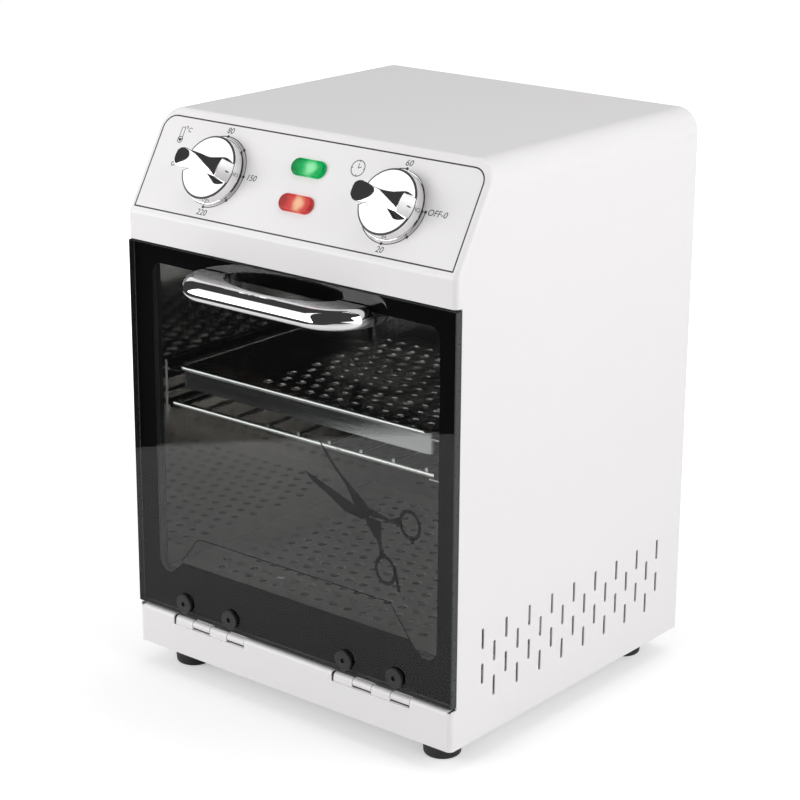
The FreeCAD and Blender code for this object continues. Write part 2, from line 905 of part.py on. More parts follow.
def chamber_floor_plate():
    half = chamber_half_width - floor_plate_gap
    front = liner_front + liner_sheet + floor_plate_gap
    rear = liner_back - floor_plate_gap
    low = floor_z - floor_plate_sheet
    outline = wire(V(-half, front, low), V(half, front, low), V(half, rear, low),
                   V(-half, rear, low), V(-half, front, low))
    places = perforations(half - floor_perforation_margin_x,
                          front + floor_perforation_margin_y, rear - floor_perforation_margin_y)
    plate = perforated_plate(outline, places, low, floor_plate_sheet)
    side = box((half - floor_plate_sheet, half), (front, rear), (underside_z, low))
    for y in heater_ys:
        gap = heater_radius + leaf_relief_gap
        side = side.cut(box((half - 2 * floor_plate_sheet, half + overrun), (y - gap, y + gap),
                            (underside_z, lower_heater_z + gap)))
    return plate.fuse(side).fuse(mirrored(side))


def shelf_runner():
    """The right runner: a web on the wall, with a ledge for the rack and one for the tray."""
    inner = chamber_half_width
    web = inner - runner_sheet
    y_range = (liner_front + runner_front_gap, liner_back - runner_rear_gap)
    rack_top = rack_rod_z - rack_rod_radius - slide_gap
    tray_top = tray_top_z - 2 * tray_bead_radius - slide_gap
    runner = box((web, inner), y_range,
                 (rack_top - runner_bottom_margin, tray_top + runner_top_margin))
    for top in (rack_top, tray_top):
        runner = runner.fuse(box((inner - runner_ledge_reach, web), y_range,
                                 (top - runner_sheet, top)))
    return runner.removeSplitter()


def heater(z):
    """A tubular heater: one loop whose two ends leave through the right wall."""
    front, rear = heater_ys
    outside = chamber_half_width + liner_sheet + heater_end_reach
    loop = -chamber_half_width + heater_loop_inset
    return pipe([V(outside, front, z), V(loop, front, z), V(loop, rear, z), V(outside, rear, z)],
                heater_bend_radius, heater_radius)


def heater_bushes():
    solids = []
    start = chamber_half_width + liner_sheet
    for z in (lower_heater_z, upper_heater_z):
        for y in heater_ys:
            foot = V(start, y, z)
            bush = Part.makeCylinder(heater_bush_radius, heater_bush_length, foot, RIGHT)
            solids.append(bush.cut(Part.makeCylinder(heater_radius, heater_bush_length,
                                                     foot, RIGHT)))
    return solids


def heater_pins(z):
    start = chamber_half_width + liner_sheet + heater_end_reach
    return [Part.makeCylinder(heater_pin_radius, heater_pin_length, V(start, y, z), RIGHT)
            for y in heater_ys]


def heater_clips():
    """A clip under or over each heater leg, near its closed end."""
    solids = []
    left = -chamber_half_width + heater_clip_inset
    for z, seat in ((lower_heater_z, underside_z), (upper_heater_z, ceiling_z)):
        low = min(z, seat)
        high = max(z, seat)
        for y in heater_ys:
            post = box((left, left + heater_clip_width),
                       (y - heater_clip_sheet / 2, y + heater_clip_sheet / 2), (low, high))
            ring = Part.makeCylinder(heater_radius + heater_clip_sheet, heater_clip_width,
                                     V(left, y, z), RIGHT)
            bore = Part.makeCylinder(heater_radius, heater_clip_width, V(left, y, z), RIGHT)
            solids.append(post.fuse(ring).cut(bore))
    return solids


def chamber_stand():
    """A hat-shaped channel that carries the chamber's rear on the base plate."""
    rear = liner_back - stand_inset
    front = rear - stand_depth
    high = underside_z - liner_sheet
    stand = box((-stand_half_width, stand_half_width), (front, rear), (pan_top, high))
    hollow = box((-stand_half_width - overrun, stand_half_width + overrun),
                 (front + sheet, rear - sheet), (pan_top - overrun, high - sheet))
    return stand.cut(hollow)


def insulation():
    wide = chamber_half_width + liner_sheet
    front = liner_front + liner_sheet
    rear = liner_back + liner_sheet
    outer_rear = rear + insulation_thickness
    top = box((-wide, wide), (front, outer_rear), (ceiling_z + liner_sheet, shield_z))
    half_pocket = cutout_pocket / 2
    y = face_y + cutout_y
    top = top.cut(box((cutout_x - half_pocket, cutout_x + half_pocket),
                      (y - half_pocket, y + half_pocket), (ceiling_z, shield_z)))
    top = top.cut(Part.makeCylinder(capillary_radius + capillary_gap, shield_z - ceiling_z,
                                    V(capillary_x, bulb_y(), ceiling_z), UP))
    back = box((-wide, wide), (rear, outer_rear), (underside_z, ceiling_z + liner_sheet))
    stand_front = liner_back - stand_inset - stand_depth
    bottom_top = underside_z - liner_sheet
    bottom = box((-wide, wide), (front, stand_front),
                 (bottom_top - insulation_thickness, bottom_top))
    left = box((-wide - side_insulation_thickness, -wide), (front, outer_rear),
               (floor_z + side_insulation_rise, shield_z))
    right = mirrored(left)
    reach = terminal_pocket / 2
    for y in heater_ys:
        z = upper_heater_z
        right = right.cut(box((wide - overrun, wide + side_insulation_thickness + overrun),
                              (y - reach, y + reach), (z - reach, z + reach)))
    return {"top": top, "rear": back, "bottom": bottom, "left": left, "right": right}


def heat_shield():
    wide = half_width - sheet
    front = frame_y + flange_width + shield_front_gap
    rear = back_y - 2 * sheet
    plate = box((-wide, wide), (front, rear), (shield_z, shield_z + sheet))
    hole = Part.makeCylinder(capillary_radius + capillary_gap, 2 * overrun,
                             V(capillary_x, bulb_y(), shield_z - overrun), UP)
    plate = plate.cut(hole)
    for side in both_sides(box((wide - sheet, wide), (front, rear),
                               (shield_z, shield_z + flange_width))):
        plate = plate.fuse(side)
    return plate.removeSplitter()


def glass_bolt_places():
    """The door screws at the hinges, then the two screws of the handle."""
    hinges = [(centre + side * door_screw_spacing / 2, door_screw_z)
              for centre in hinge_centres for side in SIDES]
    handle = [(side * handle_screw_x, handle_z + handle_height / 2) for side in SIDES]
    return hinges, handle


def door_glass():
    glass = box((-half_width, half_width), (face_y, glass_back),
                (door_low_z, door_high_z))
    glass = glass.makeChamfer(glass_chamfer, glass.Edges)
    hinges, handle = glass_bolt_places()
    for x, z in hinges + handle:
        glass = glass.cut(Part.makeCylinder(door_screw_radius + bolt_clearance,
                                            door_thickness + 2 * overrun,
                                            V(x, face_y - overrun, z), REAR))
    return glass


def window_outline(y):
    half = window_half_width
    low = window_low_z
    high = window_high_z
    step = low + window_step_rise
    step_half_width = half - step_inset
    step_foot_half_width = half - step_foot_inset
    radius = window_corner_radius
    inset = radius * (1 - math.sqrt(0.5))

    def point(x, z):
        return V(x, y, z)

    return wire(
        point(-half, low + radius),
        (point(-half + inset, low + inset), point(-half + radius, low)),
        point(-step_foot_half_width, low),
        point(-step_half_width, step),
        point(step_half_width, step),
        point(step_foot_half_width, low),
        point(half - radius, low),
        (point(half - inset, low + inset), point(half, low + radius)),
        point(half, high - radius),
        (point(half - inset, high - inset), point(half - radius, high)),
        point(-half + radius, high),
        (point(-half + inset, high - inset), point(-half, high - radius)),
        point(-half, low + radius),
    )


def door_border():
    """The black enamel border on the glass's inner face, left clear at the window."""
    edge = print_margin
    sheet_of_print = box((-half_width + edge, half_width - edge), (glass_back, print_back),
                         (door_low_z + edge, door_high_z - edge))
    window = prism(window_outline(glass_back - overrun), REAR * (print_thickness + 2 * overrun))
    border = sheet_of_print.cut(window)
    hinges, handle = glass_bolt_places()
    for x, z in hinges + handle:
        border = border.cut(Part.makeCylinder(door_screw_radius + bolt_clearance, 2 * overrun,
                                              V(x, glass_back - overrun, z), REAR))
    return border


def door_handle():
    """A bow: wide feet on the glass, a slim bar in front, and a finger opening between."""
    y = face_y
    low = handle_z

    def point(x, reach):
        return V(x, y - reach, low)

    outline = wire(
        point(-handle_half_width, 0),
        (point(-handle_half_width + handle_edge_radius / 2, handle_shoulder_reach / 2),
         point(-handle_shoulder, handle_shoulder_reach)),
        (point(0, handle_reach), point(handle_shoulder, handle_shoulder_reach)),
        (point(handle_half_width - handle_edge_radius / 2, handle_shoulder_reach / 2),
         point(handle_half_width, 0)),
        point(handle_grip_half_width, 0),
        (point(handle_grip_half_width - handle_edge_radius / 2,
               handle_grip_shoulder_depth / 2),
         point(handle_grip_shoulder, handle_grip_shoulder_depth)),
        (point(0, handle_grip_depth), point(-handle_grip_shoulder, handle_grip_shoulder_depth)),
        (point(-handle_grip_half_width + handle_edge_radius / 2,
               handle_grip_shoulder_depth / 2),
         point(-handle_grip_half_width, 0)),
        point(-handle_half_width, 0),
    )
    handle = prism(outline, UP * handle_height)
    handle = handle.makeFillet(handle_corner_radius, edges_where(
        handle, lambda edge: along(edge, UP) and edge.BoundBox.YMin < y - overrun))

    def on_opening(edge):
        return (max(abs(edge.BoundBox.XMin), abs(edge.BoundBox.XMax))
                < handle_grip_half_width + overrun
                and edge.BoundBox.YMin > y - handle_grip_depth - overrun)

    def rims(shape):
        return edges_where(shape, lambda edge: near(edge.BoundBox.ZMin, edge.BoundBox.ZMax)
                           and edge.BoundBox.YMin < y - overrun)

    handle = handle.makeFillet(handle_edge_radius,
                               [edge for edge in rims(handle) if not on_opening(edge)])
    handle = handle.makeFillet(handle_inner_edge_radius,
                               [edge for edge in rims(handle) if on_opening(edge)])
    for x, z in glass_bolt_places()[1]:
        handle = handle.cut(Part.makeCylinder(handle_screw_radius, handle_screw_depth + overrun,
                                              V(x, y + overrun, z), REAR * -1))
    return handle


def handle_fixings():
    screws = []
    washers = []
    for x, z in glass_bolt_places()[1]:
        washer = Part.makeCylinder(handle_washer_radius, handle_washer_thickness,
                                   V(x, print_back, z), REAR)
        washers.append(washer.cut(Part.makeCylinder(handle_screw_radius, 2 * overrun,
                                                    V(x, print_back - overrun, z), REAR)))
        seat = print_back + handle_washer_thickness
        head = Part.makeCylinder(handle_head_radius, handle_head_height, V(x, seat, z), REAR)
        tip = face_y - handle_screw_depth + thread_end
        shank = Part.makeCylinder(handle_screw_radius, seat - tip, V(x, tip, z), REAR)
        screws.append(head.fuse(shank))
    return screws, washers


def knuckle(start_x, length):
    barrel = Part.makeCylinder(knuckle_radius, length, V(start_x, hinge_y, hinge_z), RIGHT)
    return barrel


def hinge_leaves():
    """Fixed leaves behind the plinth, door leaves behind the glass, and their pins."""
    pitch = hinge_length / knuckle_count
    relief = knuckle_radius + leaf_relief_gap
    fixed = []
    moving = []
    pins = []
    for centre_x in hinge_centres:
        left = centre_x - hinge_length / 2
        x_range = (left, left + hinge_length)
        leaf_low = box(x_range, (face_y + sheet, face_y + sheet + leaf_thickness),
                       (base_z + fixed_leaf_bottom, hinge_z))
        leaf_high = box(x_range, (print_back, print_back + leaf_thickness),
                        (hinge_z, door_screw_z + door_leaf_margin))
        for index in range(knuckle_count):
            start = left + index * pitch
            span = (start + knuckle_gap / 2, start + pitch - knuckle_gap / 2)
            cut_span = (start - knuckle_gap / 2, start + pitch + knuckle_gap / 2)
            barrel = knuckle(span[0], span[1] - span[0])
            relief_cut = box(cut_span, (hinge_y - relief, hinge_y + relief),
                             (hinge_z - relief, hinge_z + relief))
            if index % 2 == 0:
                leaf_low = leaf_low.fuse(barrel)
                leaf_high = leaf_high.cut(relief_cut)
            else:
                leaf_low = leaf_low.cut(relief_cut)
                leaf_high = leaf_high.fuse(barrel)
        bore = Part.makeCylinder(hinge_pin_radius + hinge_pin_gap, hinge_length + 2 * overrun,
                                 V(left - overrun, hinge_y, hinge_z), RIGHT)
        leaf_high = leaf_high.cut(bore)
        for side in SIDES:
            leaf_high = leaf_high.cut(Part.makeCylinder(
                door_screw_radius, 2 * overrun + leaf_thickness,
                V(centre_x + side * door_screw_spacing / 2, print_back - overrun,
                  door_screw_z), REAR))
        fixed_bore = Part.makeCylinder(hinge_pin_radius, hinge_length + 2 * overrun,
                                       V(left - overrun, hinge_y, hinge_z), RIGHT)
        fixed.append(leaf_low.cut(fixed_bore).removeSplitter())
        moving.append(leaf_high.removeSplitter())
        pin = Part.makeCylinder(hinge_pin_radius, hinge_length,
                                V(left, hinge_y, hinge_z), RIGHT)
        for end in (left - hinge_pin_head_length, left + hinge_length):
            pin = pin.fuse(Part.makeCylinder(hinge_pin_head_radius, hinge_pin_head_length,
                                             V(end, hinge_y, hinge_z), RIGHT))
        pins.append(pin.removeSplitter())
    return fixed, moving, pins


def door_fixings():
    screws = []
    washers = []
    nuts = []
    leaf_back = print_back + leaf_thickness
    for x, z in glass_bolt_places()[0]:
        washer = Part.makeCylinder(door_washer_radius, door_washer_thickness,
                                   V(x, face_y - door_washer_thickness, z), REAR)
        washers.append(washer.cut(Part.makeCylinder(door_screw_radius, 2 * overrun,
                                                    V(x, face_y - overrun, z), REAR)))
        seat = face_y - door_washer_thickness
        front = seat - door_head_height
        head = Part.makeCylinder(door_head_radius, door_head_height, V(x, front, z), REAR)
        head = head.makeChamfer(door_head_chamfer, edges_where(
            head, lambda edge: near(edge.BoundBox.YMax, front)))
        head = head.cut(hexagon(door_socket_width, door_socket_depth, V(x, front, z), REAR))
        reach = leaf_back + door_nut_height - seat
        screws.append(head.fuse(Part.makeCylinder(door_screw_radius, reach,
                                                  V(x, seat, z), REAR)))
        nut = hexagon(door_nut_width, door_nut_height, V(x, leaf_back, z), REAR)
        nuts.append(nut.cut(Part.makeCylinder(door_screw_radius, door_nut_height,
                                              V(x, leaf_back, z), REAR)))
    return screws, washers, nuts


def grip():
    """The raised bar of a knob: a rounded nose, a waist, and a tail that slopes to the rim."""
    low = knob_face_height - knob_wall / 2
    outline = wire(
        V(-grip_nose_shoulder, -grip_nose_half_width, low),
        (V(-grip_waist, -grip_waist_half_width, low), V(grip_tail, -grip_tail_half_width, low)),
        (V(grip_tail + grip_tail_bulge, 0, low), V(grip_tail, grip_tail_half_width, low)),
        (V(-grip_waist, grip_waist_half_width, low),
         V(-grip_nose_shoulder, grip_nose_half_width, low)),
        (V(-grip_nose, 0, low), V(-grip_nose_shoulder, -grip_nose_half_width, low)),
    )
    bar = prism(outline, UP * (grip_height - low))
    side = 2 * knob_lip_radius
    saddle_z = grip_height - grip_saddle_depth + grip_saddle_radius
    saddle = Part.makeCylinder(grip_saddle_radius, side,
                               V(-grip_saddle_centre, -side / 2, saddle_z), REAR)
    bar = bar.cut(saddle)
    foot = grip_tail + grip_tail_bulge
    slope = wire(
        V(grip_slope_start, -side / 2, grip_height + overrun / 1000),
        V(foot, -side / 2, knob_face_height),
        V(side, -side / 2, knob_face_height),
        V(side, -side / 2, grip_height + overrun),
        V(grip_slope_start, -side / 2, grip_height + overrun),
        V(grip_slope_start, -side / 2, grip_height + overrun / 1000),
    )
    bar = bar.cut(prism(slope, REAR * side))
    top = edges_where(bar, lambda edge: edge.BoundBox.ZMin > knob_face_height + knob_wall / 2)
    return bar.makeFillet(grip_edge_radius, top)


def knob():
    """A knob about the Z axis, its pointer along +X, standing on the panel's face at zero."""
    low = knob_lift
    lip_top = low + knob_lip_height
    body = Part.makeCylinder(knob_lip_radius, knob_lip_height, V(0, 0, low), UP)
    body = body.fuse(Part.makeCone(knob_skirt_radius, knob_face_radius,
                                   knob_face_height - lip_top, V(0, 0, lip_top), UP))
    body = body.makeFillet(knob_face_edge_radius, edges_where(
        body, lambda edge: near(edge.BoundBox.ZMin, knob_face_height)))
    body = body.fuse(grip())
    hollow_top = knob_face_height - knob_wall
    hollow = Part.makeCylinder(knob_face_radius - knob_wall, hollow_top - low, V(0, 0, low), UP)
    hub = Part.makeCylinder(knob_hub_radius, hollow_top - low, V(0, 0, low), UP)
    body = body.cut(hollow.cut(hub))
    body = body.cut(shaft(low - overrun, shaft_top + shaft_gap, shaft_radius + shaft_gap))
    slope_run = grip_tail + grip_tail_bulge - grip_slope_start
    slope_drop = grip_height - knob_face_height
    slope_length = math.hypot(slope_run, slope_drop)
    groove = box((0, slope_length), (-pointer_groove_width / 2, pointer_groove_width / 2),
                 (-pointer_groove_depth, pointer_groove_depth))
    groove.rotate(V(0, 0, 0), REAR, math.degrees(math.atan2(slope_drop, slope_run)))
    groove.translate(V(grip_slope_start, 0, grip_height))
    return body.cut(groove).removeSplitter()


def shaft(low, high, radius):
    """A round shaft with a flat, which turns the knob."""
    solid = Part.makeCylinder(radius, high - low, V(0, 0, low), UP)
    flat = radius - shaft_flat
    return solid.cut(box((flat, 2 * radius), (-2 * radius, 2 * radius), (low - overrun, high + overrun)))


def control_shaft():
    return shaft(-sheet - control_plate_thickness - shaft_tail, shaft_top, shaft_radius)


def control_plate():
    half = control_plate_length / 2
    low = -sheet - control_plate_thickness
    plate = prism(rounded_rectangle((-half, half), (-control_plate_width / 2, control_plate_width / 2),
                                    control_plate_width / 4, low), UP * control_plate_thickness)
    for side in SIDES:
        plate = plate.cut(Part.makeCylinder(control_screw_radius, 2 * overrun,
                                            V(side * control_screw_spacing / 2, 0, low - overrun / 2),
                                            UP))
    return plate


def shaft_well():
    """The round well that the shaft turns in."""
    top = -sheet
    low = top - control_plate_thickness - shaft_tail - shaft_seat_depth
    return Part.makeCylinder(shaft_radius + shaft_gap, top - low + overrun, V(0, 0, low), UP)


def control_screw_wells():
    depth = control_screw_length + thread_end
    return [Part.makeCylinder(control_screw_radius, depth,
                              V(side * control_screw_spacing / 2, 0, -depth), UP)
            for side in SIDES]


def thermostat():
    top = -sheet - control_plate_thickness
    block = prism(rounded_rectangle((-thermostat_width / 2, thermostat_width / 2),
                                    (-thermostat_height / 2, thermostat_height / 2),
                                    control_plate_thickness, top - thermostat_depth),
                  UP * thermostat_depth)
    body = block.fuse(control_plate())
    neck = Part.makeCylinder(thermostat_neck_radius, sheet, V(0, 0, -sheet), UP)
    body = body.fuse(neck).cut(shaft_well())
    for well in control_screw_wells():
        body = body.cut(well)
    return body


def timer():
    top = -sheet - control_plate_thickness
    case = Part.makeCylinder(timer_case_radius, timer_case_depth,
                             V(0, 0, top - timer_case_depth), UP)
    post_length = bell_gap + bell_height
    post = Part.makeCylinder(bell_post_radius, post_length,
                             V(0, 0, top - timer_case_depth - post_length), UP)
    body = case.fuse(control_plate()).fuse(post)
    neck = Part.makeCylinder(thermostat_neck_radius, sheet, V(0, 0, -sheet), UP)
    body = body.fuse(neck).cut(shaft_well())
    for well in control_screw_wells():
        body = body.cut(well)
    return body


def timer_bell():
    """A shallow dome on the timer's rear post."""
    rim = -sheet - control_plate_thickness - timer_case_depth - bell_gap
    radius = (bell_radius ** 2 + bell_height ** 2) / (2 * bell_height)
    centre = V(0, 0, rim - bell_height + radius)
    dome = Part.makeSphere(radius, centre).cut(Part.makeSphere(radius - bell_sheet, centre))
    slab = Part.makeCylinder(bell_radius, bell_height, V(0, 0, rim - bell_height), UP)
    dome = dome.common(slab)
    return dome.cut(Part.makeCylinder(bell_post_radius, 2 * bell_height,
                                      V(0, 0, rim - bell_height - overrun), UP))


def control_screws():
    screws = []
    for side in SIDES:
        x = side * control_screw_spacing / 2
        head = Part.makeCylinder(control_head_radius, control_head_height, V(x, 0, 0), UP)
        head = head.makeChamfer(control_head_height / 4, edges_where(
            head, lambda edge: near(edge.BoundBox.ZMin, control_head_height)))
        shank = Part.makeCylinder(control_screw_radius, control_screw_length,
                                  V(x, 0, -control_screw_length), UP)
        screws.append(head.fuse(shank))
    return screws


def lamp_lens():
    lens = prism(obround(lamp_length, lamp_width), UP * lamp_dome)
    lens = lens.makeFillet(lamp_edge_radius, edges_where(
        lens, lambda edge: near(edge.BoundBox.ZMin, lamp_dome)))
    neck = prism(obround(lamp_length - 2 * lamp_neck_inset, lamp_width - 2 * lamp_neck_inset,
                         -sheet), UP * sheet)
    return lens.fuse(neck)


def lamp_body():
    half = lamp_length / 2
    side = lamp_width / 2
    return box((-half, half), (-side, side), (-sheet - lamp_body_depth, -sheet))


def lamp_blades():
    low = -sheet - lamp_body_depth - lamp_blade_length
    return [box((x - lamp_blade_width / 2, x + lamp_blade_width / 2),
                (-lamp_blade_thickness / 2, lamp_blade_thickness / 2),
                (low, low + lamp_blade_length))
            for x in (-lamp_blade_spacing / 2, lamp_blade_spacing / 2)]


def bulb_y():
    return liner_back - bulb_wall_gap


def thermostat_bulb():
    """The sensing bulb in the chamber and the thin tube that leads to the thermostat."""
    y = bulb_y()
    z = ceiling_z - bulb_drop
    bulb = Part.makeCylinder(bulb_radius, bulb_length, V(bulb_left, y, z), RIGHT)
    bulb = bulb.makeFillet(bulb_radius / 2, [bulb.Edges[0], bulb.Edges[2]])
    rise = fold_z + capillary_rise
    point = on_panel(Part.Vertex(0, 0, -sheet - control_plate_thickness - thermostat_depth),
                     capillary_x, dial_height).Vertexes[0].Point
    inside = (point.z - rise) * math.tan(slant)
    end_y = point.y - inside - capillary_insert
    tube = pipe([V(bulb_left + bulb_radius, y, z), V(capillary_x, y, z),
                 V(capillary_x, y, rise), V(capillary_x, end_y, rise)],
                capillary_bend_radius, capillary_radius)
    return bulb.fuse(tube)


def bulb_clips():
    solids = []
    y = bulb_y()
    z = ceiling_z - bulb_drop
    for start in (bulb_left + bulb_clip_inset,
                  bulb_left + bulb_length - bulb_clip_inset - bulb_clip_width):
        ring = Part.makeCylinder(bulb_radius + bulb_clip_sheet, bulb_clip_width,
                                 V(start, y, z), RIGHT)
        arm = box((start, start + bulb_clip_width), (y, liner_back),
                  (z - bulb_clip_sheet / 2, z + bulb_clip_sheet / 2))
        bore = Part.makeCylinder(bulb_radius, bulb_clip_width, V(start, y, z), RIGHT)
        solids.append(ring.fuse(arm).cut(bore))
    return solids


def thermal_cutout():
    y = face_y + cutout_y
    low = ceiling_z + liner_sheet
    flange = box((cutout_x - cutout_flange_length / 2, cutout_x + cutout_flange_length / 2),
                 (y - cutout_flange_width / 2, y + cutout_flange_width / 2),
                 (low, low + cutout_flange_thickness))
    return flange.fuse(Part.makeCylinder(cutout_radius, cutout_height, V(cutout_x, y, low), UP))


def terminal_block():
    y = back_y - terminal_block_inset
    low = shield_z + sheet
    half = terminal_block_length / 2
    x_range = (terminal_block_x - half, terminal_block_x + half)
    block = box(x_range, (y - terminal_block_width / 2, y + terminal_block_width / 2),
                (low, low + terminal_block_height))
    screws = []
    high = low + terminal_block_height
    for way in range(terminal_ways):
        x = terminal_block_x + (way - (terminal_ways - 1) / 2) * terminal_pitch
        for side in SIDES:
            centre = V(x, y + side * terminal_block_width / 4, high - terminal_screw_sunk)
            block = block.cut(Part.makeCylinder(terminal_screw_radius, terminal_screw_sunk,
                                                centre, UP))
            screws.append(Part.makeCylinder(terminal_screw_radius, terminal_screw_height,
                                            centre, UP))
    return [block] + screws


def power_inlet():
    z = inlet_z
    half = inlet_flange_length / 2
    flange = box((inlet_x - half, inlet_x + half), (back_y, back_y + inlet_flange_thickness),
                 (z - inlet_flange_height / 2, z + inlet_flange_height / 2))
    flange = flange.makeFillet(inlet_flange_height / 4, edges_where(
        flange, lambda edge: along(edge, REAR)))
    body = box((inlet_x - inlet_body_width / 2, inlet_x + inlet_body_width / 2),
               (back_y - inlet_body_depth, back_y),
               (z - inlet_body_height / 2, z + inlet_body_height / 2))
    recess_bottom = back_y + inlet_flange_thickness - inlet_recess_depth
    recess = box((inlet_x - inlet_recess_width / 2, inlet_x + inlet_recess_width / 2),
                 (recess_bottom, back_y + inlet_flange_thickness + overrun),
                 (z - inlet_recess_height / 2, z + inlet_recess_height / 2))
    recess = recess.makeChamfer(inlet_recess_chamfer, edges_where(
        recess, lambda edge: along(edge, REAR) and edge.BoundBox.ZMin > z))
    inlet = flange.fuse(body).cut(recess)
    pins = []
    for side, rise, extra in ((-1, -inlet_pin_drop, 0), (1, -inlet_pin_drop, 0),
                              (0, inlet_earth_rise - inlet_pin_drop, inlet_earth_extra)):
        x = inlet_x + side * inlet_pin_spacing / 2
        pin = box((x - inlet_pin_width / 2, x + inlet_pin_width / 2),
                  (recess_bottom - inlet_tail_length, recess_bottom + inlet_pin_length + extra
                   - inlet_earth_extra),
                  (z + rise - inlet_pin_height / 2, z + rise + inlet_pin_height / 2))
        inlet = inlet.cut(pin)
        pins.append(pin)
    screws = []
    for side in SIDES:
        x = inlet_x + side * inlet_screw_spacing / 2
        outer = back_y + inlet_flange_thickness
        sink = inlet_head_radius - inlet_screw_radius
        cone = Part.makeCone(inlet_screw_radius, inlet_head_radius, sink,
                             V(x, outer - sink, z), REAR)
        shank = Part.makeCylinder(inlet_screw_radius, rear_screw_length,
                                  V(x, outer - sink - rear_screw_length, z), REAR)
        screw = cone.fuse(shank).removeSplitter()
        inlet = inlet.cut(screw)
        screws.append(screw)
    return inlet, pins, screws


def tray():
    half = tray_half_width
    y_range = (face_y + tray_front, liner_back - tray_rear_gap)
    low = tray_low_z
    high = tray_top_z - tray_bead_radius
    outer = rounded_rectangle((-half, half), y_range, tray_corner_radius, low)
    inner = rounded_rectangle((-half + tray_wall, half - tray_wall),
                              (y_range[0] + tray_wall, y_range[1] - tray_wall),
                              tray_corner_radius - tray_wall, low)
    walls = prism(outer, UP * (high - low)).cut(prism(inner, UP * (high - low)))
    places = perforations(tray_half_width - tray_perforation_side, y_range[0] + tray_perforation_front,
                          y_range[1] - tray_perforation_rear)
    pan = perforated_plate(outer, places, low, tray_wall)
    reach = tray_bead_radius - tray_bead_bite
    bead_path = rounded_rectangle((-half - reach, half + reach),
                                  (y_range[0] - reach, y_range[1] + reach),
                                  tray_corner_radius + reach, high)
    start = bead_path.Edges[0].Vertexes[0].Point
    section = Part.Wire(Part.makeCircle(tray_bead_radius, start, RIGHT))
    bead = bead_path.makePipeShell([section], True, True)
    return walls.fuse(pan).fuse(bead).removeSplitter()


def wire_rack():
    z = rack_rod_z
    wire_z = z + rack_rod_radius + rack_wire_radius - rack_weld_bite
    front = face_y + rack_front
    rods = []
    rear = liner_back - rack_rear_gap
    for y in (front, (front + rear) / 2, rear):
        rods.append(Part.makeCylinder(rack_rod_radius, 2 * rack_half_width,
                                      V(-rack_half_width, y, z), RIGHT))
    for index in range(-rack_wires_each_side, rack_wires_each_side + 1):
        rods.append(Part.makeCylinder(
            rack_wire_radius, rear - front + 2 * rack_wire_overhang,
            V(index * rack_wire_pitch, front - rack_wire_overhang, wire_z), REAR))
    return rods[0].multiFuse(rods[1:])


def main():
    os.makedirs("parts", exist_ok=True)

    save("outer_casing", outer_casing())
    save("base_plate", base_plate())
    save("base_screws", *base_screws())
    foot_solids, foot_screws, foot_nuts = feet()
    save("rubber_feet", *foot_solids)
    save("foot_screws", *foot_screws)
    save("foot_nuts", *foot_nuts)
    save("rear_panel", rear_panel())
    save("rear_screws", *rear_screws())

    save("front_frame", front_frame())
    save("door_seal", door_seal())
    save("catch_magnet", catch_magnet())
    save("liner_left_wall", liner_side(-1))
    save("liner_right_wall", liner_side(1))
    save("liner_ceiling", liner_ceiling())
    save("liner_rear_wall", liner_rear())
    save("liner_floor", liner_floor())
    save("chamber_floor_plate", chamber_floor_plate())
    runner = shelf_runner()
    save("shelf_runner_right", runner)
    save("shelf_runner_left", mirrored(runner))
    save("chamber_stand", chamber_stand())
    boards = insulation()
    for place in ("top", "rear", "bottom"):
        save("insulation_" + place, boards[place])
    save("insulation_sides", boards["left"], boards["right"])
    save("heat_shield", heat_shield())

    save("lower_heater", heater(lower_heater_z), *heater_pins(lower_heater_z))
    save("upper_heater", heater(upper_heater_z), *heater_pins(upper_heater_z))
    save("heater_bushes", *heater_bushes())
    save("heater_clips", *heater_clips())
    save("thermostat_bulb", thermostat_bulb())
    save("bulb_clips", *bulb_clips())
    save("thermal_cutout", thermal_cutout())
    save("terminal_block", *terminal_block())

    save("thermostat", on_panel(thermostat(), -dial_x, dial_height).cut(thermostat_bulb()))
    save("timer", *[on_panel(piece, dial_x, dial_height) for piece in (timer(), timer_bell())])
    save("control_screws", *[on_panel(screw, side * dial_x, dial_height)
                             for side in SIDES for screw in control_screws()])
    save("green_lamp_lens", on_panel(lamp_lens(), 0, green_lamp_height))
    save("red_lamp_lens", on_panel(lamp_lens(), 0, red_lamp_height))
    rises = (green_lamp_height, red_lamp_height)
    save("lamp_bodies", *[on_panel(piece, 0, rise) for rise in rises
                          for piece in [lamp_body()] + lamp_blades()])

    inlet, inlet_pins, inlet_screws = power_inlet()
    save("power_inlet", inlet)
    save("inlet_pins", *inlet_pins)
    save("inlet_screws", *inlet_screws)

    save("door_glass", door_glass())
    save("door_border", door_border())
    save("door_handle", door_handle())
    screws, washers = handle_fixings()
    save("handle_screws", *screws)
    save("handle_washers", *washers)
    fixed, moving, pins = hinge_leaves()
    save("hinge_fixed_leaves", *fixed)
    save("hinge_door_leaves", *moving)
    save("hinge_pins", *pins)
    screws, washers, nuts = door_fixings()
    save("door_screws", *screws)
    save("door_washers", *washers)
    save("door_nuts", *nuts)
    save("catch_strike", catch_strike())

    for name, side in (("temperature", -1), ("timer", 1)):
        save(name + "_knob", on_panel(knob(), side * dial_x, dial_height, rest_turn))
        save(name + "_shaft", on_panel(control_shaft(), side * dial_x, dial_height, rest_turn))

    save("perforated_tray", tray())
    save("wire_rack", wire_rack())


main()
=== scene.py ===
import json
import math
from contextlib import contextmanager

import bpy
from bpy.props import FloatProperty, FloatVectorProperty, PointerProperty
from mathutils import Matrix, Vector


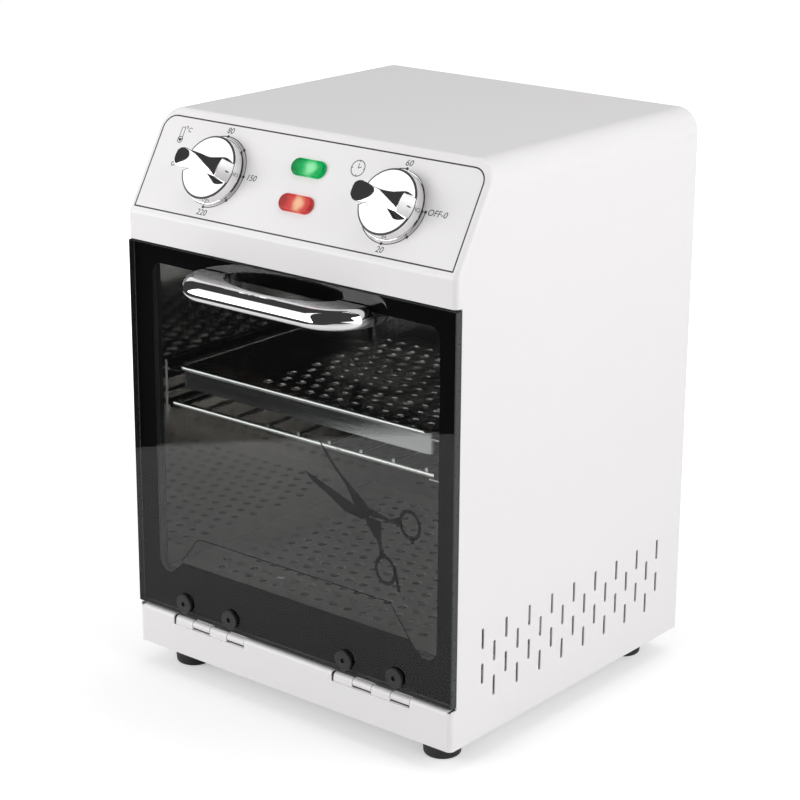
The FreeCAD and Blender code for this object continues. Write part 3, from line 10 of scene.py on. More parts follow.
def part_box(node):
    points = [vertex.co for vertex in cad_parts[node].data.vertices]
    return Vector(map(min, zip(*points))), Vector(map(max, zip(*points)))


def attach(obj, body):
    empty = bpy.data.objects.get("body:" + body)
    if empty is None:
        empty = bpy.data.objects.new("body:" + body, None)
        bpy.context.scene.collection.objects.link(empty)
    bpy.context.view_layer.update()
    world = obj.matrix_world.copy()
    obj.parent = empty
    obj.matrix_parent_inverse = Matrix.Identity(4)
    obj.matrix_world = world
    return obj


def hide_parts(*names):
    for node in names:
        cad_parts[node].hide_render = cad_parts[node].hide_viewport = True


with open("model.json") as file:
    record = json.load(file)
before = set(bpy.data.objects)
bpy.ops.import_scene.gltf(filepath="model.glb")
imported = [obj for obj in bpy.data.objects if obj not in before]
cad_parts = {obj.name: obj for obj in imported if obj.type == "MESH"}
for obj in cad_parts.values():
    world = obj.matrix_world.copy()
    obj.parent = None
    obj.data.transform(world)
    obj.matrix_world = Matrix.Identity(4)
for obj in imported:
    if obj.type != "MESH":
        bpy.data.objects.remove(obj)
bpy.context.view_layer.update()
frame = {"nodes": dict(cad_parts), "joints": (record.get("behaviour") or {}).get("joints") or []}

bl_info = {
    "name": "Dry Heat Sterilizer",
    "version": (1, 0, 0),
    "blender": (4, 5, 0),
    "location": "3D View > Sidebar > Sterilizer",
    "description": "Dresses the dry heat sterilizer and sets up its studio",
    "category": "Object",
}

MM = 0.001
NEAR = 0.01 * MM  # How close a point counts as on a plane
WHITE = (1, 1, 1, 1)
CAD = frame["nodes"]
JOINTS = {joint["name"]: joint for joint in frame["joints"]}
RIGHT = Vector((1, 0, 0))

GLASS_LOW, GLASS_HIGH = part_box("door_glass")
BORDER_LOW, BORDER_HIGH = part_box("door_border")
FACE_Y = GLASS_LOW.y

# The slanted panel, from the knobs' joints: its outward normal, and its way up the slope
DIAL_LEFT = Vector(JOINTS["temperature_knob_turn"]["pos_m"])
DIAL_RIGHT = Vector(JOINTS["timer_knob_turn"]["pos_m"])
PANEL_OUT = -Vector(JOINTS["temperature_knob_turn"]["axis"])
PANEL_UP = PANEL_OUT.cross(RIGHT)
DIAL_RISE = (DIAL_LEFT.y - FACE_Y) / PANEL_UP.y


def size(name, description, default, low=0.0):
    """A length, given here in millimetres."""
    return FloatProperty(name=name, description=description, default=default * MM,
                         min=low * MM, unit="LENGTH", precision=5)


def amount(name, description, default, low=0.0, high=1.0):
    return FloatProperty(name=name, description=description, default=default, min=low,
                         max=high)


def power(name, description, default):
    return FloatProperty(name=name, description=description, default=default,
                         subtype="POWER")


def turn(name, description, default):
    return FloatProperty(name=name, description=description, subtype="ANGLE",
                         default=math.radians(default))


def colour(name, description, *default):
    return FloatVectorProperty(name=name, description=description, subtype="COLOR", size=3,
                               min=0.0, max=1.0, default=default)


def place(name, description, *default):
    return FloatVectorProperty(name=name, description=description, subtype="XYZ", size=3,
                               unit="LENGTH", default=default)


class StudioSettings(bpy.types.PropertyGroup):
    camera_place: place("Camera place", "Where the camera stands", 0.8766, -1.0724, 0.6324)
    camera_azimuth: turn("Camera azimuth", "Turn of the view to the left", 39.21)
    camera_elevation: turn("Camera elevation", "How far the view looks down", 18.0)
    camera_roll: turn("Camera roll", "Lean of the camera", 0.37)
    focal_length: amount("Focal length", "Lens on a 36 mm sensor", 102.55, 10, 400)
    floor_colour: colour("Floor", "Colour of the table top", 0.76, 0.755, 0.76)
    floor_glow: amount("Floor glow", "Light added to the floor where the camera sees it", 0.39)
    mirror_glow: amount("Mirrored glow", "Light added to the floor in mirrors and glass", 0.05)
    floor_reach: size("Floor reach", "How far the floor runs past the object", 4000.0)
    floor_edge: size("Floor edge", "Distance of the table's edge at the front left", 601.0)
    wall_light: amount("Wall light", "Brightness of the studio's dark walls", 0.045)
    card_low: amount("Sheet's foot", "Light of the front sheet's foot", 3.0, 0, 10)
    card_high: amount("Sheet's head", "Light of the front sheet overhead", 1.3, 0, 10)
    side_card: amount("Right sheet", "Light of the sheet at the right", 1.2, 0, 10)
    world_light: amount("World light", "Soft light from all round", 0.42)
    front_power: power("Front softbox", "Power of the softbox at the front left", 15.0)
    right_power: power("Right softbox", "Power of the softbox at the right", 16.0)
    top_power: power("Top softbox", "Power of the softbox above", 11.0)


class CabinetSettings(bpy.types.PropertyGroup):
    enamel: colour("Enamel", "White baked enamel", 0.86, 0.845, 0.852)
    enamel_roughness: amount("Enamel roughness", "How matt the enamel is", 0.42)
    print_ink: colour("Panel ink", "Ink of the marks on the panel", 0.035, 0.032, 0.036)
    line_width: size("Outline width", "Width of the panel's outline", 0.9)
    outline_half_width: size("Outline half width", "Half the outline's width", 125.7)
    outline_foot: size("Outline foot", "Outline's lower line, up the slope", 3.6)
    outline_head: size("Outline head", "Outline's upper line, up the slope", 65.8)
    outline_corner: size("Outline corner", "Radius of the upper corners", 9.5)
    print_height: size("Print thickness", "Thickness of the printed ink", 0.05)
    scale_radius: size("Scale radius", "Radius of a dial's scale line", 23.0)
    scale_line: size("Scale line", "Width of a dial's scale line", 0.55)
    dot_radius: size("Dot radius", "Radius of a scale's dots", 0.95)
    number_height: size("Number height", "Size of the dial numbers", 5.4)


class DoorSettings(bpy.types.PropertyGroup):
    border: colour("Border", "Enamel fired on the inner face", 0.0045, 0.004, 0.0048)
    pane_tint: colour("Pane tint", "What the pane lets through", 0.93, 0.945, 0.94)
    edge: colour("Pane edge", "Ground edge of the pane", 0.03, 0.033, 0.033)
    ink_depth: size("Ink depth", "How far the print bites into the glass", 0.05)
    ink_height: size("Ink height", "Thickness of the thin prints", 0.1)
    strip_line: size("Strip line", "Width of the line round the lower strip", 0.75)
    handle_top_radius: size("Handle top radius", "Rounding above the handle's front", 7.4)
    handle_foot_radius: size("Handle foot radius", "Rounding below the handle's front", 4.2)
    gasket: size("Gasket", "Thickness of the gasket behind the handle", 1.4)
    grip_half_width: size("Finger opening", "Half the width of the finger opening", 44.0)
    grip_depth: size("Opening depth", "Depth of the finger opening", 19.6)
    grip_edge: size("Opening edge", "Rounding of the opening's edges", 1.0)


class FittingSettings(bpy.types.PropertyGroup):
    chrome: colour("Chrome", "Bright chrome plating", 0.9, 0.89, 0.9)
    chrome_roughness: amount("Chrome roughness", "How dull the plating is", 0.035)
    grip_hollow: amount("Tail hollow", "Radius towards the tail, in mm", 60, 10, 400)
    grip_hollow_nose: amount("Nose hollow", "Radius towards the nose, in mm", 54, 10, 400)
    grip_hollow_middle: amount("Hollow middle", "Its lowest point, in mm", 1.5, -20, 20)
    grip_crown: amount("Grip crown", "Radius across the grip's top, in mm", 16, 4, 400)
    knob_turn: turn("Knob turn", "How far both pointers stand past 3 o'clock", 4.0)
    black: colour("Black screws", "Black oxide screws", 0.016, 0.016, 0.017)
    rubber: colour("Rubber", "Black rubber of the feet", 0.02, 0.02, 0.021)
    green_dark: colour("Green lens", "Dark part of the green lens", 0.0, 0.07, 0.025)
    green_body: colour("Green body", "Middle of the green lens", 0.0, 0.4, 0.09)
    green_light: colour("Green glow", "Lit spot of the green lens", 0.36, 0.97, 0.5)
    red_dark: colour("Red lens", "Dark part of the red lens", 0.13, 0.004, 0.006)
    red_body: colour("Red body", "Middle of the red lens", 0.6, 0.055, 0.05)
    red_light: colour("Red glow", "Lit spot of the red lens", 1.0, 0.66, 0.4)
    glow_offset: size("Glow offset", "How far right of its middle a lamp glows", 2.6, -20)


class ChamberSettings(bpy.types.PropertyGroup):
    steel: colour("Chamber steel", "Polished steel of the walls", 0.43, 0.42, 0.415)
    wall_roughness: amount("Wall roughness", "How dull the walls are", 0.07)
    plate_steel: colour("Plate steel", "Steel of the floor plate", 0.95, 0.9, 0.85)
    # The pan is painted near black as the shade under the perforated floor plate
    pan_steel: colour("Pan steel", "Steel of the pan, painted near black as the shade under the floor plate", 0.06, 0.058, 0.056)
    tray_steel: colour("Tray steel", "Steel of the tray", 0.5, 0.49, 0.485)
    tray_roughness: amount("Tray roughness", "How dull the tray is", 0.09)
    rack_steel: colour("Rack steel", "Plated wire of the rack", 0.5, 0.49, 0.48)


SETTINGS = {
    "studio": StudioSettings,
    "cabinet": CabinetSettings,
    "door": DoorSettings,
    "fittings": FittingSettings,
    "chamber": ChamberSettings,
}


def settings(context, name):
    return getattr(context.scene, "sterilizer_" + name)


# Materials

NOISE_LOW, NOISE_HIGH = 0.3, 0.7  # Where nearly all of a noise texture's values lie
HEAD_ON_MIRROR = 0.036  # Share of the light that glass mirrors when seen head on
CHROME_GRAIN = (420, 0.015, 0.0, 0.015)  # Scale, shade, bump and dullness
FLOOR_FADE = (0.32, 1.0)  # Metres from the middle between which the floor turns white


def feed(tree, socket, value):
    """Give an input a plain value, an output, or a node's first output."""
    if isinstance(value, bpy.types.Node):
        value = value.outputs[0]
    if isinstance(value, bpy.types.NodeSocket):
        tree.links.new(value, socket)
    else:
        socket.default_value = value


def node(tree, kind, *values, **named_values):
    """A new node, with values for its first inputs and for named ones."""
    made = tree.nodes.new("ShaderNode" + kind)
    for socket, value in zip(made.inputs, values):
        feed(tree, socket, value)
    for name, value in named_values.items():
        feed(tree, made.inputs[name.replace("_", " ")], value)
    return made


def rgba(values):
    return (*values, 1.0)


def new_material(name):
    made = bpy.data.materials.new(name)
    made.use_nodes = True
    made.node_tree.nodes.clear()
    return made, made.node_tree


def surfaced(material, shader):
    node(material.node_tree, "OutputMaterial", Surface=shader)
    return material


def own_place(tree):
    """The coordinates of the piece's own space."""
    return tree.nodes.new("ShaderNodeTexCoord").outputs["Object"]


def calculated(tree, operation, first, second):
    made = node(tree, "Math", first, second)
    made.operation = operation
    return made


def length_of(tree, vector):
    made = node(tree, "VectorMath", vector)
    made.operation = "LENGTH"
    return made.outputs["Value"]


def glow(tree, strength):
    return node(tree, "Emission", Color=WHITE, Strength=strength)


def grain(tree, scale, stretch=(1, 1, 1)):
    """A noise pattern in the piece's own space, drawn out along an axis by the stretch."""
    mapping = node(tree, "Mapping", Vector=own_place(tree), Scale=stretch)
    return node(tree, "TexNoise", Vector=mapping, Scale=scale, Detail=3.0)


def ranged(tree, value, start, end, low, high, interpolation="LINEAR"):
    """Go from low to high while the value goes from start to end, and stay there."""
    made = node(tree, "MapRange", Value=value, From_Min=start, From_Max=end, To_Min=low,
                To_Max=high)
    made.interpolation_type = interpolation
    return made


def spread(tree, pattern, low, high):
    """Map a noise pattern to the range from low to high."""
    return ranged(tree, pattern, NOISE_LOW, NOISE_HIGH, low, high)


def blended(tree, factor, first, second):
    """The colour between two colours that a factor picks."""
    mix = tree.nodes.new("ShaderNodeMix")
    mix.data_type = "RGBA"
    feed(tree, mix.inputs["Factor"], factor)
    colours = [socket for socket in mix.inputs if socket.type == "RGBA"]
    for socket, value in zip(colours, (first, second)):
        socket.default_value = rgba(value)
    return next(socket for socket in mix.outputs if socket.type == "RGBA")


def finish(name, base, roughness, metallic=0.0, scale=300.0, shade=0.04, bump=0.02,
           dullness=0.04, stretch=(1, 1, 1), depth=0.02 * MM, **sockets):
    """A surface with its own grain: the noise shifts its colour, roughness and height."""
    made, tree = new_material(name)
    pattern = grain(tree, scale, stretch)
    mixed = blended(tree, spread(tree, pattern, 0, 1), [part * (1 - shade) for part in base],
                    [min(1.0, part * (1 + shade)) for part in base])
    dull = spread(tree, pattern, max(0.0, roughness - dullness), roughness + dullness)
    if bump:
        sockets["Normal"] = node(tree, "Bump", Strength=bump, Distance=depth, Height=pattern)
    shader = node(tree, "BsdfPrincipled", Base_Color=mixed, Roughness=dull,
                  Metallic=metallic, **sockets)
    return surfaced(made, shader)


def unbumped_finish(name, base, roughness, shade, metallic=0.0, scale=900.0):
    return finish(name, base, roughness, metallic, scale, shade, 0.0)


def chrome_finish(name, fittings):
    return finish(name, fittings.chrome, fittings.chrome_roughness, 1.0, *CHROME_GRAIN)


def pane_material(name, tint):
    """Clear glass: it mirrors a little at each face and lets the rest straight through."""
    made, tree = new_material(name)
    facing = node(tree, "LayerWeight", Blend=0.5).outputs["Facing"]
    share = ranged(tree, calculated(tree, "POWER", facing, 5.0), 0, 1, HEAD_ON_MIRROR, 1)
    through = node(tree, "BsdfTransparent", Color=rgba(tint))
    mirror = node(tree, "BsdfGlossy", Color=WHITE, Roughness=0.0)
    return surfaced(made, node(tree, "MixShader", share, through, mirror))


def lens_material(name, dark, body, light, spot, reach):
    """A lit lens: brightest at a spot inside it, darker towards its ends."""
    made, tree = new_material(name)
    mapping = node(tree, "Mapping", Vector=own_place(tree),
                   Location=[-part for part in spot])
    away = calculated(tree, "DIVIDE", length_of(tree, mapping), reach)
    ripple = spread(tree, grain(tree, 260.0), 0.8, 1.15)
    ramp = node(tree, "ValToRGB", Fac=calculated(tree, "MULTIPLY", away, ripple))
    ramp.color_ramp.interpolation = "EASE"
    first, last = ramp.color_ramp.elements
    first.position, first.color = 0.12, rgba(light)
    last.position, last.color = 1.0, rgba(dark)
    ramp.color_ramp.elements.new(0.4).color = rgba(body)
    ramp.color_ramp.elements.new(0.72).color = rgba([0.45 * part for part in body])
    shader = node(tree, "BsdfPrincipled", Base_Color=rgba([0.3 * part for part in body]),
                  Roughness=0.12, IOR=1.49, Specular_IOR_Level=0.2,
                  Emission_Color=ramp, Emission_Strength=0.75)
    return surfaced(made, shader)


def seen_by(tree, *rays):
    """1 where one of the named kinds of ray looks at the surface, otherwise 0."""
    path = tree.nodes.new("ShaderNodeLightPath")
    seen = path.outputs[rays[0]]
    for ray in rays[1:]:
        seen = calculated(tree, "MAXIMUM", seen, path.outputs[ray])
    return seen


def floor_material(name, base, near_glow, mirror_glow):
    """The pale floor: lit as it is near the object, and white to the camera farther out."""
    made, tree = new_material(name)
    shader = node(tree, "BsdfPrincipled", Base_Color=rgba(base), Roughness=0.6,
                  Specular_IOR_Level=0.0)
    outward = ranged(tree, length_of(tree, own_place(tree)), *FLOOR_FADE, near_glow, 1,
                     "SMOOTHSTEP")
    plain = calculated(tree, "MULTIPLY", seen_by(tree, "Is Camera Ray", "Is Transmission Ray"),
                       outward)
    mirrored = calculated(tree, "MULTIPLY", seen_by(tree, "Is Glossy Ray"), mirror_glow)
    light = glow(tree, calculated(tree, "ADD", plain, mirrored))
    return surfaced(made, node(tree, "AddShader", shader, light))


def sheet_material(name, low, high, fade_low=0.0, fade_high=1.0):
    """A glowing sheet, as bright as low below the fade's heights and as high above them."""
    made, tree = new_material(name)
    height = node(tree, "SeparateXYZ", own_place(tree)).outputs["Z"]
    return surfaced(made, glow(tree, ranged(tree, height, fade_low, fade_high, low, high)))


# Modelling helpers


def select_only(piece):
    bpy.ops.object.select_all(action="DESELECT")
    piece.select_set(True)
    bpy.context.view_layer.objects.active = piece


def active():
    return bpy.context.view_layer.objects.active


def add(shape, **values):
    """Add a primitive mesh with nothing else selected."""
    bpy.ops.object.select_all(action="DESELECT")
    getattr(bpy.ops.mesh, "primitive_" + shape + "_add")(**values)
    return active()


@contextmanager
def picked(piece, faces=None, edges=None, points=None):
    """Edit the piece with its faces, edges or vertices selected that pass a test, or all."""
    select_only(piece)
    mesh = piece.data
    whole = not (faces or edges or points)
    bpy.ops.object.mode_set(mode="EDIT")
    bpy.ops.mesh.select_mode(type="EDGE" if edges else "VERT" if points else "FACE")
    bpy.ops.mesh.select_all(action="SELECT" if whole else "DESELECT")
    bpy.ops.object.mode_set(mode="OBJECT")
    if faces:
        for face in mesh.polygons:
            face.select = bool(faces(face))
    if edges:
        for edge in mesh.edges:
            first, second = (mesh.vertices[index].co for index in edge.vertices)
            edge.select = bool(edges(first, second))
    if points:
        for vertex in mesh.vertices:
            vertex.select = bool(points(vertex.co))
    bpy.ops.object.mode_set(mode="EDIT")
    yield
    bpy.ops.object.mode_set(mode="OBJECT")


def extrude(*shift):
    bpy.ops.mesh.extrude_region_move(TRANSFORM_OT_translate={"value": shift})


def face_outward():
    bpy.ops.mesh.select_all(action="SELECT")
    bpy.ops.mesh.normals_make_consistent(inside=False)


def bevelled(offset, segments, affect="EDGES", **values):
    bpy.ops.mesh.bevel(offset=offset, segments=segments, affect=affect, **values)


def named(piece, name):
    piece.name = name
    piece.data.name = name
    return piece


def settle(piece, matrix=None):
    """Put the piece in place and take that place into its mesh."""
    if matrix is not None:
        piece.matrix_world = matrix @ piece.matrix_world
    select_only(piece)
    bpy.ops.object.transform_apply(location=True, rotation=True, scale=True)
    return piece


def dress(piece, material, body):
    piece.data.materials.clear()
    piece.data.materials.append(material)
    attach(piece, body)


def coat(node_name, material):
    """Put the material in every slot of a CAD node."""
    for slot in CAD[node_name].material_slots:
        slot.material = material


def joined(pieces, name):
    bpy.ops.object.select_all(action="DESELECT")
    for piece in pieces:
        piece.select_set(True)
    bpy.context.view_layer.objects.active = pieces[0]
    bpy.ops.object.join()
    return named(active(), name)


def copied(node_name, name):
    """A CAD node's copy with its doubled points merged."""
    select_only(CAD[node_name])
    bpy.ops.object.duplicate()
    piece = named(active(), name)
    for key in [key for key in piece.keys() if key.startswith("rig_")]:
        del piece[key]
    piece.parent = None
    piece.matrix_world = Matrix.Identity(4)
    with picked(piece):
        bpy.ops.mesh.remove_doubles(threshold=0.001 * MM)
    return piece


def shaped(piece, where):
    """Move every point of the piece to where a rule puts it."""
    for point in piece.data.vertices:
        point.co = where(point.co)
    piece.data.update()
    return piece


def follow(table, value):
    """The second number of the table's rows, drawn straight between the rows' first ones."""
    for (start, first), (end, second) in zip(table, table[1:]):
        if value <= end:
            share = max(0.0, (value - start) / (end - start))
            return first + (second - first) * share
    return table[-1][1]


def modified(piece, kind, **values):
    """Add one modifier with its values and apply it."""
    select_only(piece)
    added = piece.modifiers.new(kind, kind)
    for name, value in values.items():
        setattr(added, name, value)
    bpy.ops.object.modifier_apply(modifier=added.name)
    return piece


def polished(piece, degrees=32.0):
    """Smooth shading that keeps the flats flat, as a mirror finish shows any ripple."""
    select_only(piece)
    bpy.ops.object.shade_smooth_by_angle(angle=math.radians(degrees))
    return modified(piece, "WEIGHTED_NORMAL", weight=80, keep_sharp=True)


def panel_matrix(x, rise):
    """From flat drawings to the slanted panel: X right, Y up the slope, Z outward."""
    origin = Vector((x, FACE_Y, DIAL_LEFT.z - DIAL_RISE * PANEL_UP.z)) + rise * PANEL_UP
    turned = Matrix((RIGHT, PANEL_UP, PANEL_OUT)).transposed().to_4x4()
    return Matrix.Translation(origin) @ turned


def around(radius, angle):
    """The point at a radius and an angle in degrees, counter-clockwise from the right."""
    return radius * math.cos(math.radians(angle)), radius * math.sin(math.radians(angle))


def raise_flat(piece, height):
    with picked(piece):
        extrude(0, 0, height)
        face_outward()
    return piece


def flat_ring(radius, line, height, start=0.0, sweep=360.0, steps=96):
    """A flat ring, or an arc of it, drawn counter-clockwise from the start in degrees."""
    piece = add("circle", vertices=steps, radius=radius + line / 2, fill_type="NGON")
    with picked(piece):
        bpy.ops.mesh.inset(thickness=line)

    def unwanted(face):
        angle = math.degrees(math.atan2(face.center.y, face.center.x)) - start
        return face.center.length < radius / 2 or angle % 360.0 > sweep

    with picked(piece, faces=unwanted):
        bpy.ops.mesh.delete(type="FACE")
        bpy.ops.mesh.select_all(action="SELECT")
        extrude(0, 0, height)
        face_outward()
    return piece


def flat_dot(x, y, radius, height, steps=20):
    return raise_flat(add("circle", vertices=steps, radius=radius, fill_type="NGON",
                          location=(x, y, 0)), height)


def flat_bar(start, end, width, height, end_width=None):
    """A straight bar from one point to another, tapered to its end width."""
    start, end = Vector(start), Vector(end)
    run = end - start
    piece = add("plane", size=1.0)
    piece.scale = (run.length, width, 1)
    piece.location = ((start + end) / 2).to_3d()
    piece.rotation_euler.z = math.atan2(run.y, run.x)
    if end_width is not None:
        with picked(piece, points=lambda point: point.x > 0):
            bpy.ops.transform.resize(value=(1, end_width / width, 1))
    return settle(raise_flat(piece, height))


def flat_shape(points, height):
    """A flat shape with the given outline."""
    piece = add("circle", vertices=len(points), radius=1.0, fill_type="NGON")
    for vertex, point in zip(piece.data.vertices, points):
        vertex.co = (*point, 0)
    return raise_flat(piece, height)


def flat_text(words, height, thickness, x, y):
    bpy.ops.object.select_all(action="DESELECT")
    bpy.ops.object.text_add(location=(x, y, thickness / 2))
    text = active().data
    text.body = words
    text.size = height
    text.shear = 0.18
    text.align_x = text.align_y = "CENTER"
    text.extrude = thickness / 2
    text.resolution_u = 4
    select_only(active())
    bpy.ops.object.convert(target="MESH")
    return settle(active())


# Operators

# The mirrored sheets bend round this height on the axis, at this distance, in metres
SHEET_MIDDLE, SHEET_REACH = 0.25, 1.7
SHEET_FADE = (0.775, 0.995)  # Heights between which the front left sheet grows dimmer
LIT_POINT = Vector((0, 0, 0.2))  # What the softboxes aim at
TABLE_EDGE = Vector((-0.74, -0.673, 0.0)).normalized()  # Way out over the table's edge


class STERILIZER_OT_studio(bpy.types.Operator):
    """Add the floor, the walls and sheets that mirrors show, the softboxes and the camera"""
    bl_idname = "sterilizer.studio"
    bl_label = "Studio"

    def execute(self, context):
        values = settings(context, "studio")
        self.add_floor(values)
        self.add_walls(values)
        self.add_sheets(values)
        self.add_world(context, values)
        self.add_lights(values)
        self.add_camera(context, values)
        return {"FINISHED"}

    def add_floor(self, values):
        floor = named(add("plane", size=2 * values.floor_reach), "studio_floor")
        with picked(floor):
            bpy.ops.mesh.bisect(plane_co=TABLE_EDGE * values.floor_edge, plane_no=TABLE_EDGE,
                                clear_outer=True)
        floor.data.materials.append(floor_material("studio_floor", values.floor_colour,
                                                   values.floor_glow, values.mirror_glow))

    def add_walls(self, values):
        walls = named(add("ico_sphere", subdivisions=4, radius=values.floor_reach * 1.6),
                      "studio_walls")
        made, tree = new_material("studio_walls")
        walls.data.materials.append(surfaced(made, glow(tree, values.wall_light)))
        self.mirrored_only(walls)

    def mirrored_only(self, piece):
        for ray in ("camera", "diffuse", "transmission", "shadow"):
            setattr(piece, "visible_" + ray, False)

    def add_sheets(self, values):
        """Add the bright sheets at the front left and at the right for chrome and glass."""
        def front(across, up):
            left, right = 50 + 24 * (1 - up) ** 2.6, 10 + 40 * up ** 1.5
            return -6 + 78 * up, left + (right - left) * across

        def side(across, up):
            return 2 + 20 * (up - 0.5), -105 - 84 * (across - 0.5) + 30 * (up - 0.5)

        for name, rows, rule, lights in (
                ("studio_card", 16, front, (values.card_low, values.card_high, *SHEET_FADE)),
                ("studio_side_card", 4, side, (values.side_card, values.side_card))):
            sheet = named(add("grid", x_subdivisions=12, y_subdivisions=rows, size=1), name)
            shaped(sheet, lambda point: self.bent(*rule(point.x + 0.5, point.y + 0.5)))
            sheet.data.materials.append(sheet_material(name, *lights))
            self.mirrored_only(sheet)

    def bent(self, rise, side):
        """The point of the sheets' sphere at degrees of rise and degrees left of the front."""
        rise, side = math.radians(rise), math.radians(side)
        return (-SHEET_REACH * math.cos(rise) * math.sin(side),
                -SHEET_REACH * math.cos(rise) * math.cos(side),
                SHEET_MIDDLE + SHEET_REACH * math.sin(rise))

    def add_world(self, context, values):
        world = bpy.data.worlds.new("studio_world")
        context.scene.world = world
        world.use_nodes = True
        tree = world.node_tree
        tree.nodes.clear()
        seen = seen_by(tree, "Is Camera Ray", "Is Glossy Ray", "Is Transmission Ray")
        soft, white = (node(tree, "Background", Color=WHITE, Strength=strength)
                       for strength in (values.world_light, 1.0))
        node(tree, "OutputWorld", Surface=node(tree, "MixShader", seen, soft, white))

    def add_lights(self, values):
        for name, centre, width, height, strength, mirrored in (
                ("front_softbox", (-1.05, -1.2, 0.62), 1.3, 1.0, values.front_power, False),
                ("right_softbox", (1.7, 0.15, 0.95), 1.0, 1.2, values.right_power, True),
                ("top_softbox", (0.1, 0.3, 2.1), 1.6, 1.6, values.top_power, False)):
            bpy.ops.object.select_all(action="DESELECT")
            bpy.ops.object.light_add(type="AREA", location=centre)
            lamp = active()
            lamp.name = name
            lamp.data.shape = "RECTANGLE"
            lamp.data.size = width
            lamp.data.size_y = height
            lamp.data.energy = strength
            toward = LIT_POINT - Vector(centre)
            lamp.rotation_euler = toward.to_track_quat("-Z", "Y").to_euler()
            lamp.visible_glossy = mirrored

    def add_camera(self, context, values):
        bpy.ops.object.camera_add(location=values.camera_place)
        camera = active()
        camera.name = "photo_camera"
        camera.data.lens = values.focal_length
        camera.data.sensor_width = 36.0
        view = (Matrix.Rotation(values.camera_azimuth, 4, "Z")
                @ Matrix.Rotation(math.pi / 2 - values.camera_elevation, 4, "X")
                @ Matrix.Rotation(values.camera_roll, 4, "Z"))
        camera.matrix_world = Matrix.Translation(values.camera_place) @ view
        camera.data.clip_start = 0.05
        context.scene.camera = camera
        context.scene.view_settings.view_transform = "Standard"


ZINC = (0.62, 0.63, 0.64)
ALONG_X, ALONG_Z = (0.06, 1, 1), (1, 1, 0.08)  # How the grain of rolled steel is drawn out


def cad_finishes(context):
    """Rows of CAD nodes and what finish takes: its name, colour, roughness and metal, and
    its grain's scale, shade, bump, dullness, stretch and depth."""
    cabinet, fittings, chamber = (settings(context, name)
                                  for name in ("cabinet", "fittings", "chamber"))
    return (
        ("outer_casing rear_panel hinge_fixed_leaves hinge_door_leaves base_screws",
         "enamel", cabinet.enamel, cabinet.enamel_roughness, 0, 700, 0.006, 0.12, 0.03,
         (1, 1, 1), 0.012 * MM),
        ("base_plate heat_shield chamber_stand",
         "inner_sheet", ZINC, 0.36, 1, 90, 0.1, 0.02, 0.08),
        ("front_frame liner_left_wall liner_right_wall liner_ceiling liner_rear_wall "
         "shelf_runner_left shelf_runner_right",
         "chamber_steel", chamber.steel, chamber.wall_roughness, 1, 240, 0.05, 0.03, 0.02,
         ALONG_Z),
        # Painted shade: the near-black pan seen through the floor plate's holes
        ("liner_floor", "pan_steel", chamber.pan_steel, 0.4, 1, 240, 0.1, 0.03, 0.05),
        ("wire_rack", "rack_steel", chamber.rack_steel, 0.1, 1, 500),
        ("perforated_tray", "tray_steel", chamber.tray_steel, chamber.tray_roughness, 1,
         260, 0.06, 0.03, 0.02, ALONG_X),
        ("chamber_floor_plate", "plate_steel", chamber.plate_steel, 0.42, 1, 260, 0.06,
         0.03, 0.04, ALONG_X),
        ("foot_screws foot_nuts rear_screws heater_clips bulb_clips control_screws "
         "inlet_pins hinge_pins handle_screws door_nuts catch_strike temperature_shaft "
         "timer_shaft", "zinc_plate", ZINC, 0.3, 1, 600, 0.08),
        ("door_screws inlet_screws", "black_oxide", fittings.black, 0.42, 0, 900, 0.2, 0.1),
        ("handle_washers door_washers",
         "fibre_washer", (0.05, 0.048, 0.045), 0.7, 0, 900, 0.15, 0.2),
        ("door_seal", "seal_rubber", (0.03, 0.03, 0.032), 0.6, 0, 500, 0.2, 0.15),
        ("rubber_feet", "foot_rubber", fittings.rubber, 0.55, 0, 800, 0.25, 0.25, 0.04,
         (1, 1, 1), 0.05 * MM),
        ("catch_magnet", "magnet", (0.05, 0.05, 0.052), 0.5, 0, 700, 0.2, 0.1),
        ("insulation_top insulation_rear insulation_bottom insulation_sides",
         "wool", (0.62, 0.55, 0.36), 0.95, 0, 350, 0.25, 0.8, 0.03, (1, 1, 3), 0.4 * MM),
        ("lower_heater upper_heater",
         "heater_sheath", (0.2, 0.18, 0.165), 0.38, 0.8, 200, 0.25, 0.1),
        ("heater_bushes thermal_cutout",
         "ceramic", (0.78, 0.75, 0.68), 0.35, 0, 600, 0.04, 0.08),
        ("thermostat_bulb", "copper", (0.78, 0.42, 0.27), 0.25, 1, 300, 0.12, 0.03),
        ("terminal_block thermostat timer lamp_bodies",
         "dark_moulding", (0.035, 0.035, 0.037), 0.45, 0, 700, 0.15, 0.12),
        ("power_inlet", "inlet_moulding", (0.018, 0.018, 0.019), 0.4, 0, 900, 0.2, 0.15),
        ("door_handle temperature_knob timer_knob",
         "chrome", fittings.chrome, fittings.chrome_roughness, 1, *CHROME_GRAIN),
    )


class STERILIZER_OT_finishes(bpy.types.Operator):
    """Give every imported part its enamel, steel, chrome, rubber, wool or moulded finish"""
    bl_idname = "sterilizer.finishes"
    bl_label = "Finishes"

    def execute(self, context):
        for nodes, *look in cad_finishes(context):
            made = finish(*look)
            for node_name in nodes.split():
                coat(node_name, made)
        return {"FINISHED"}


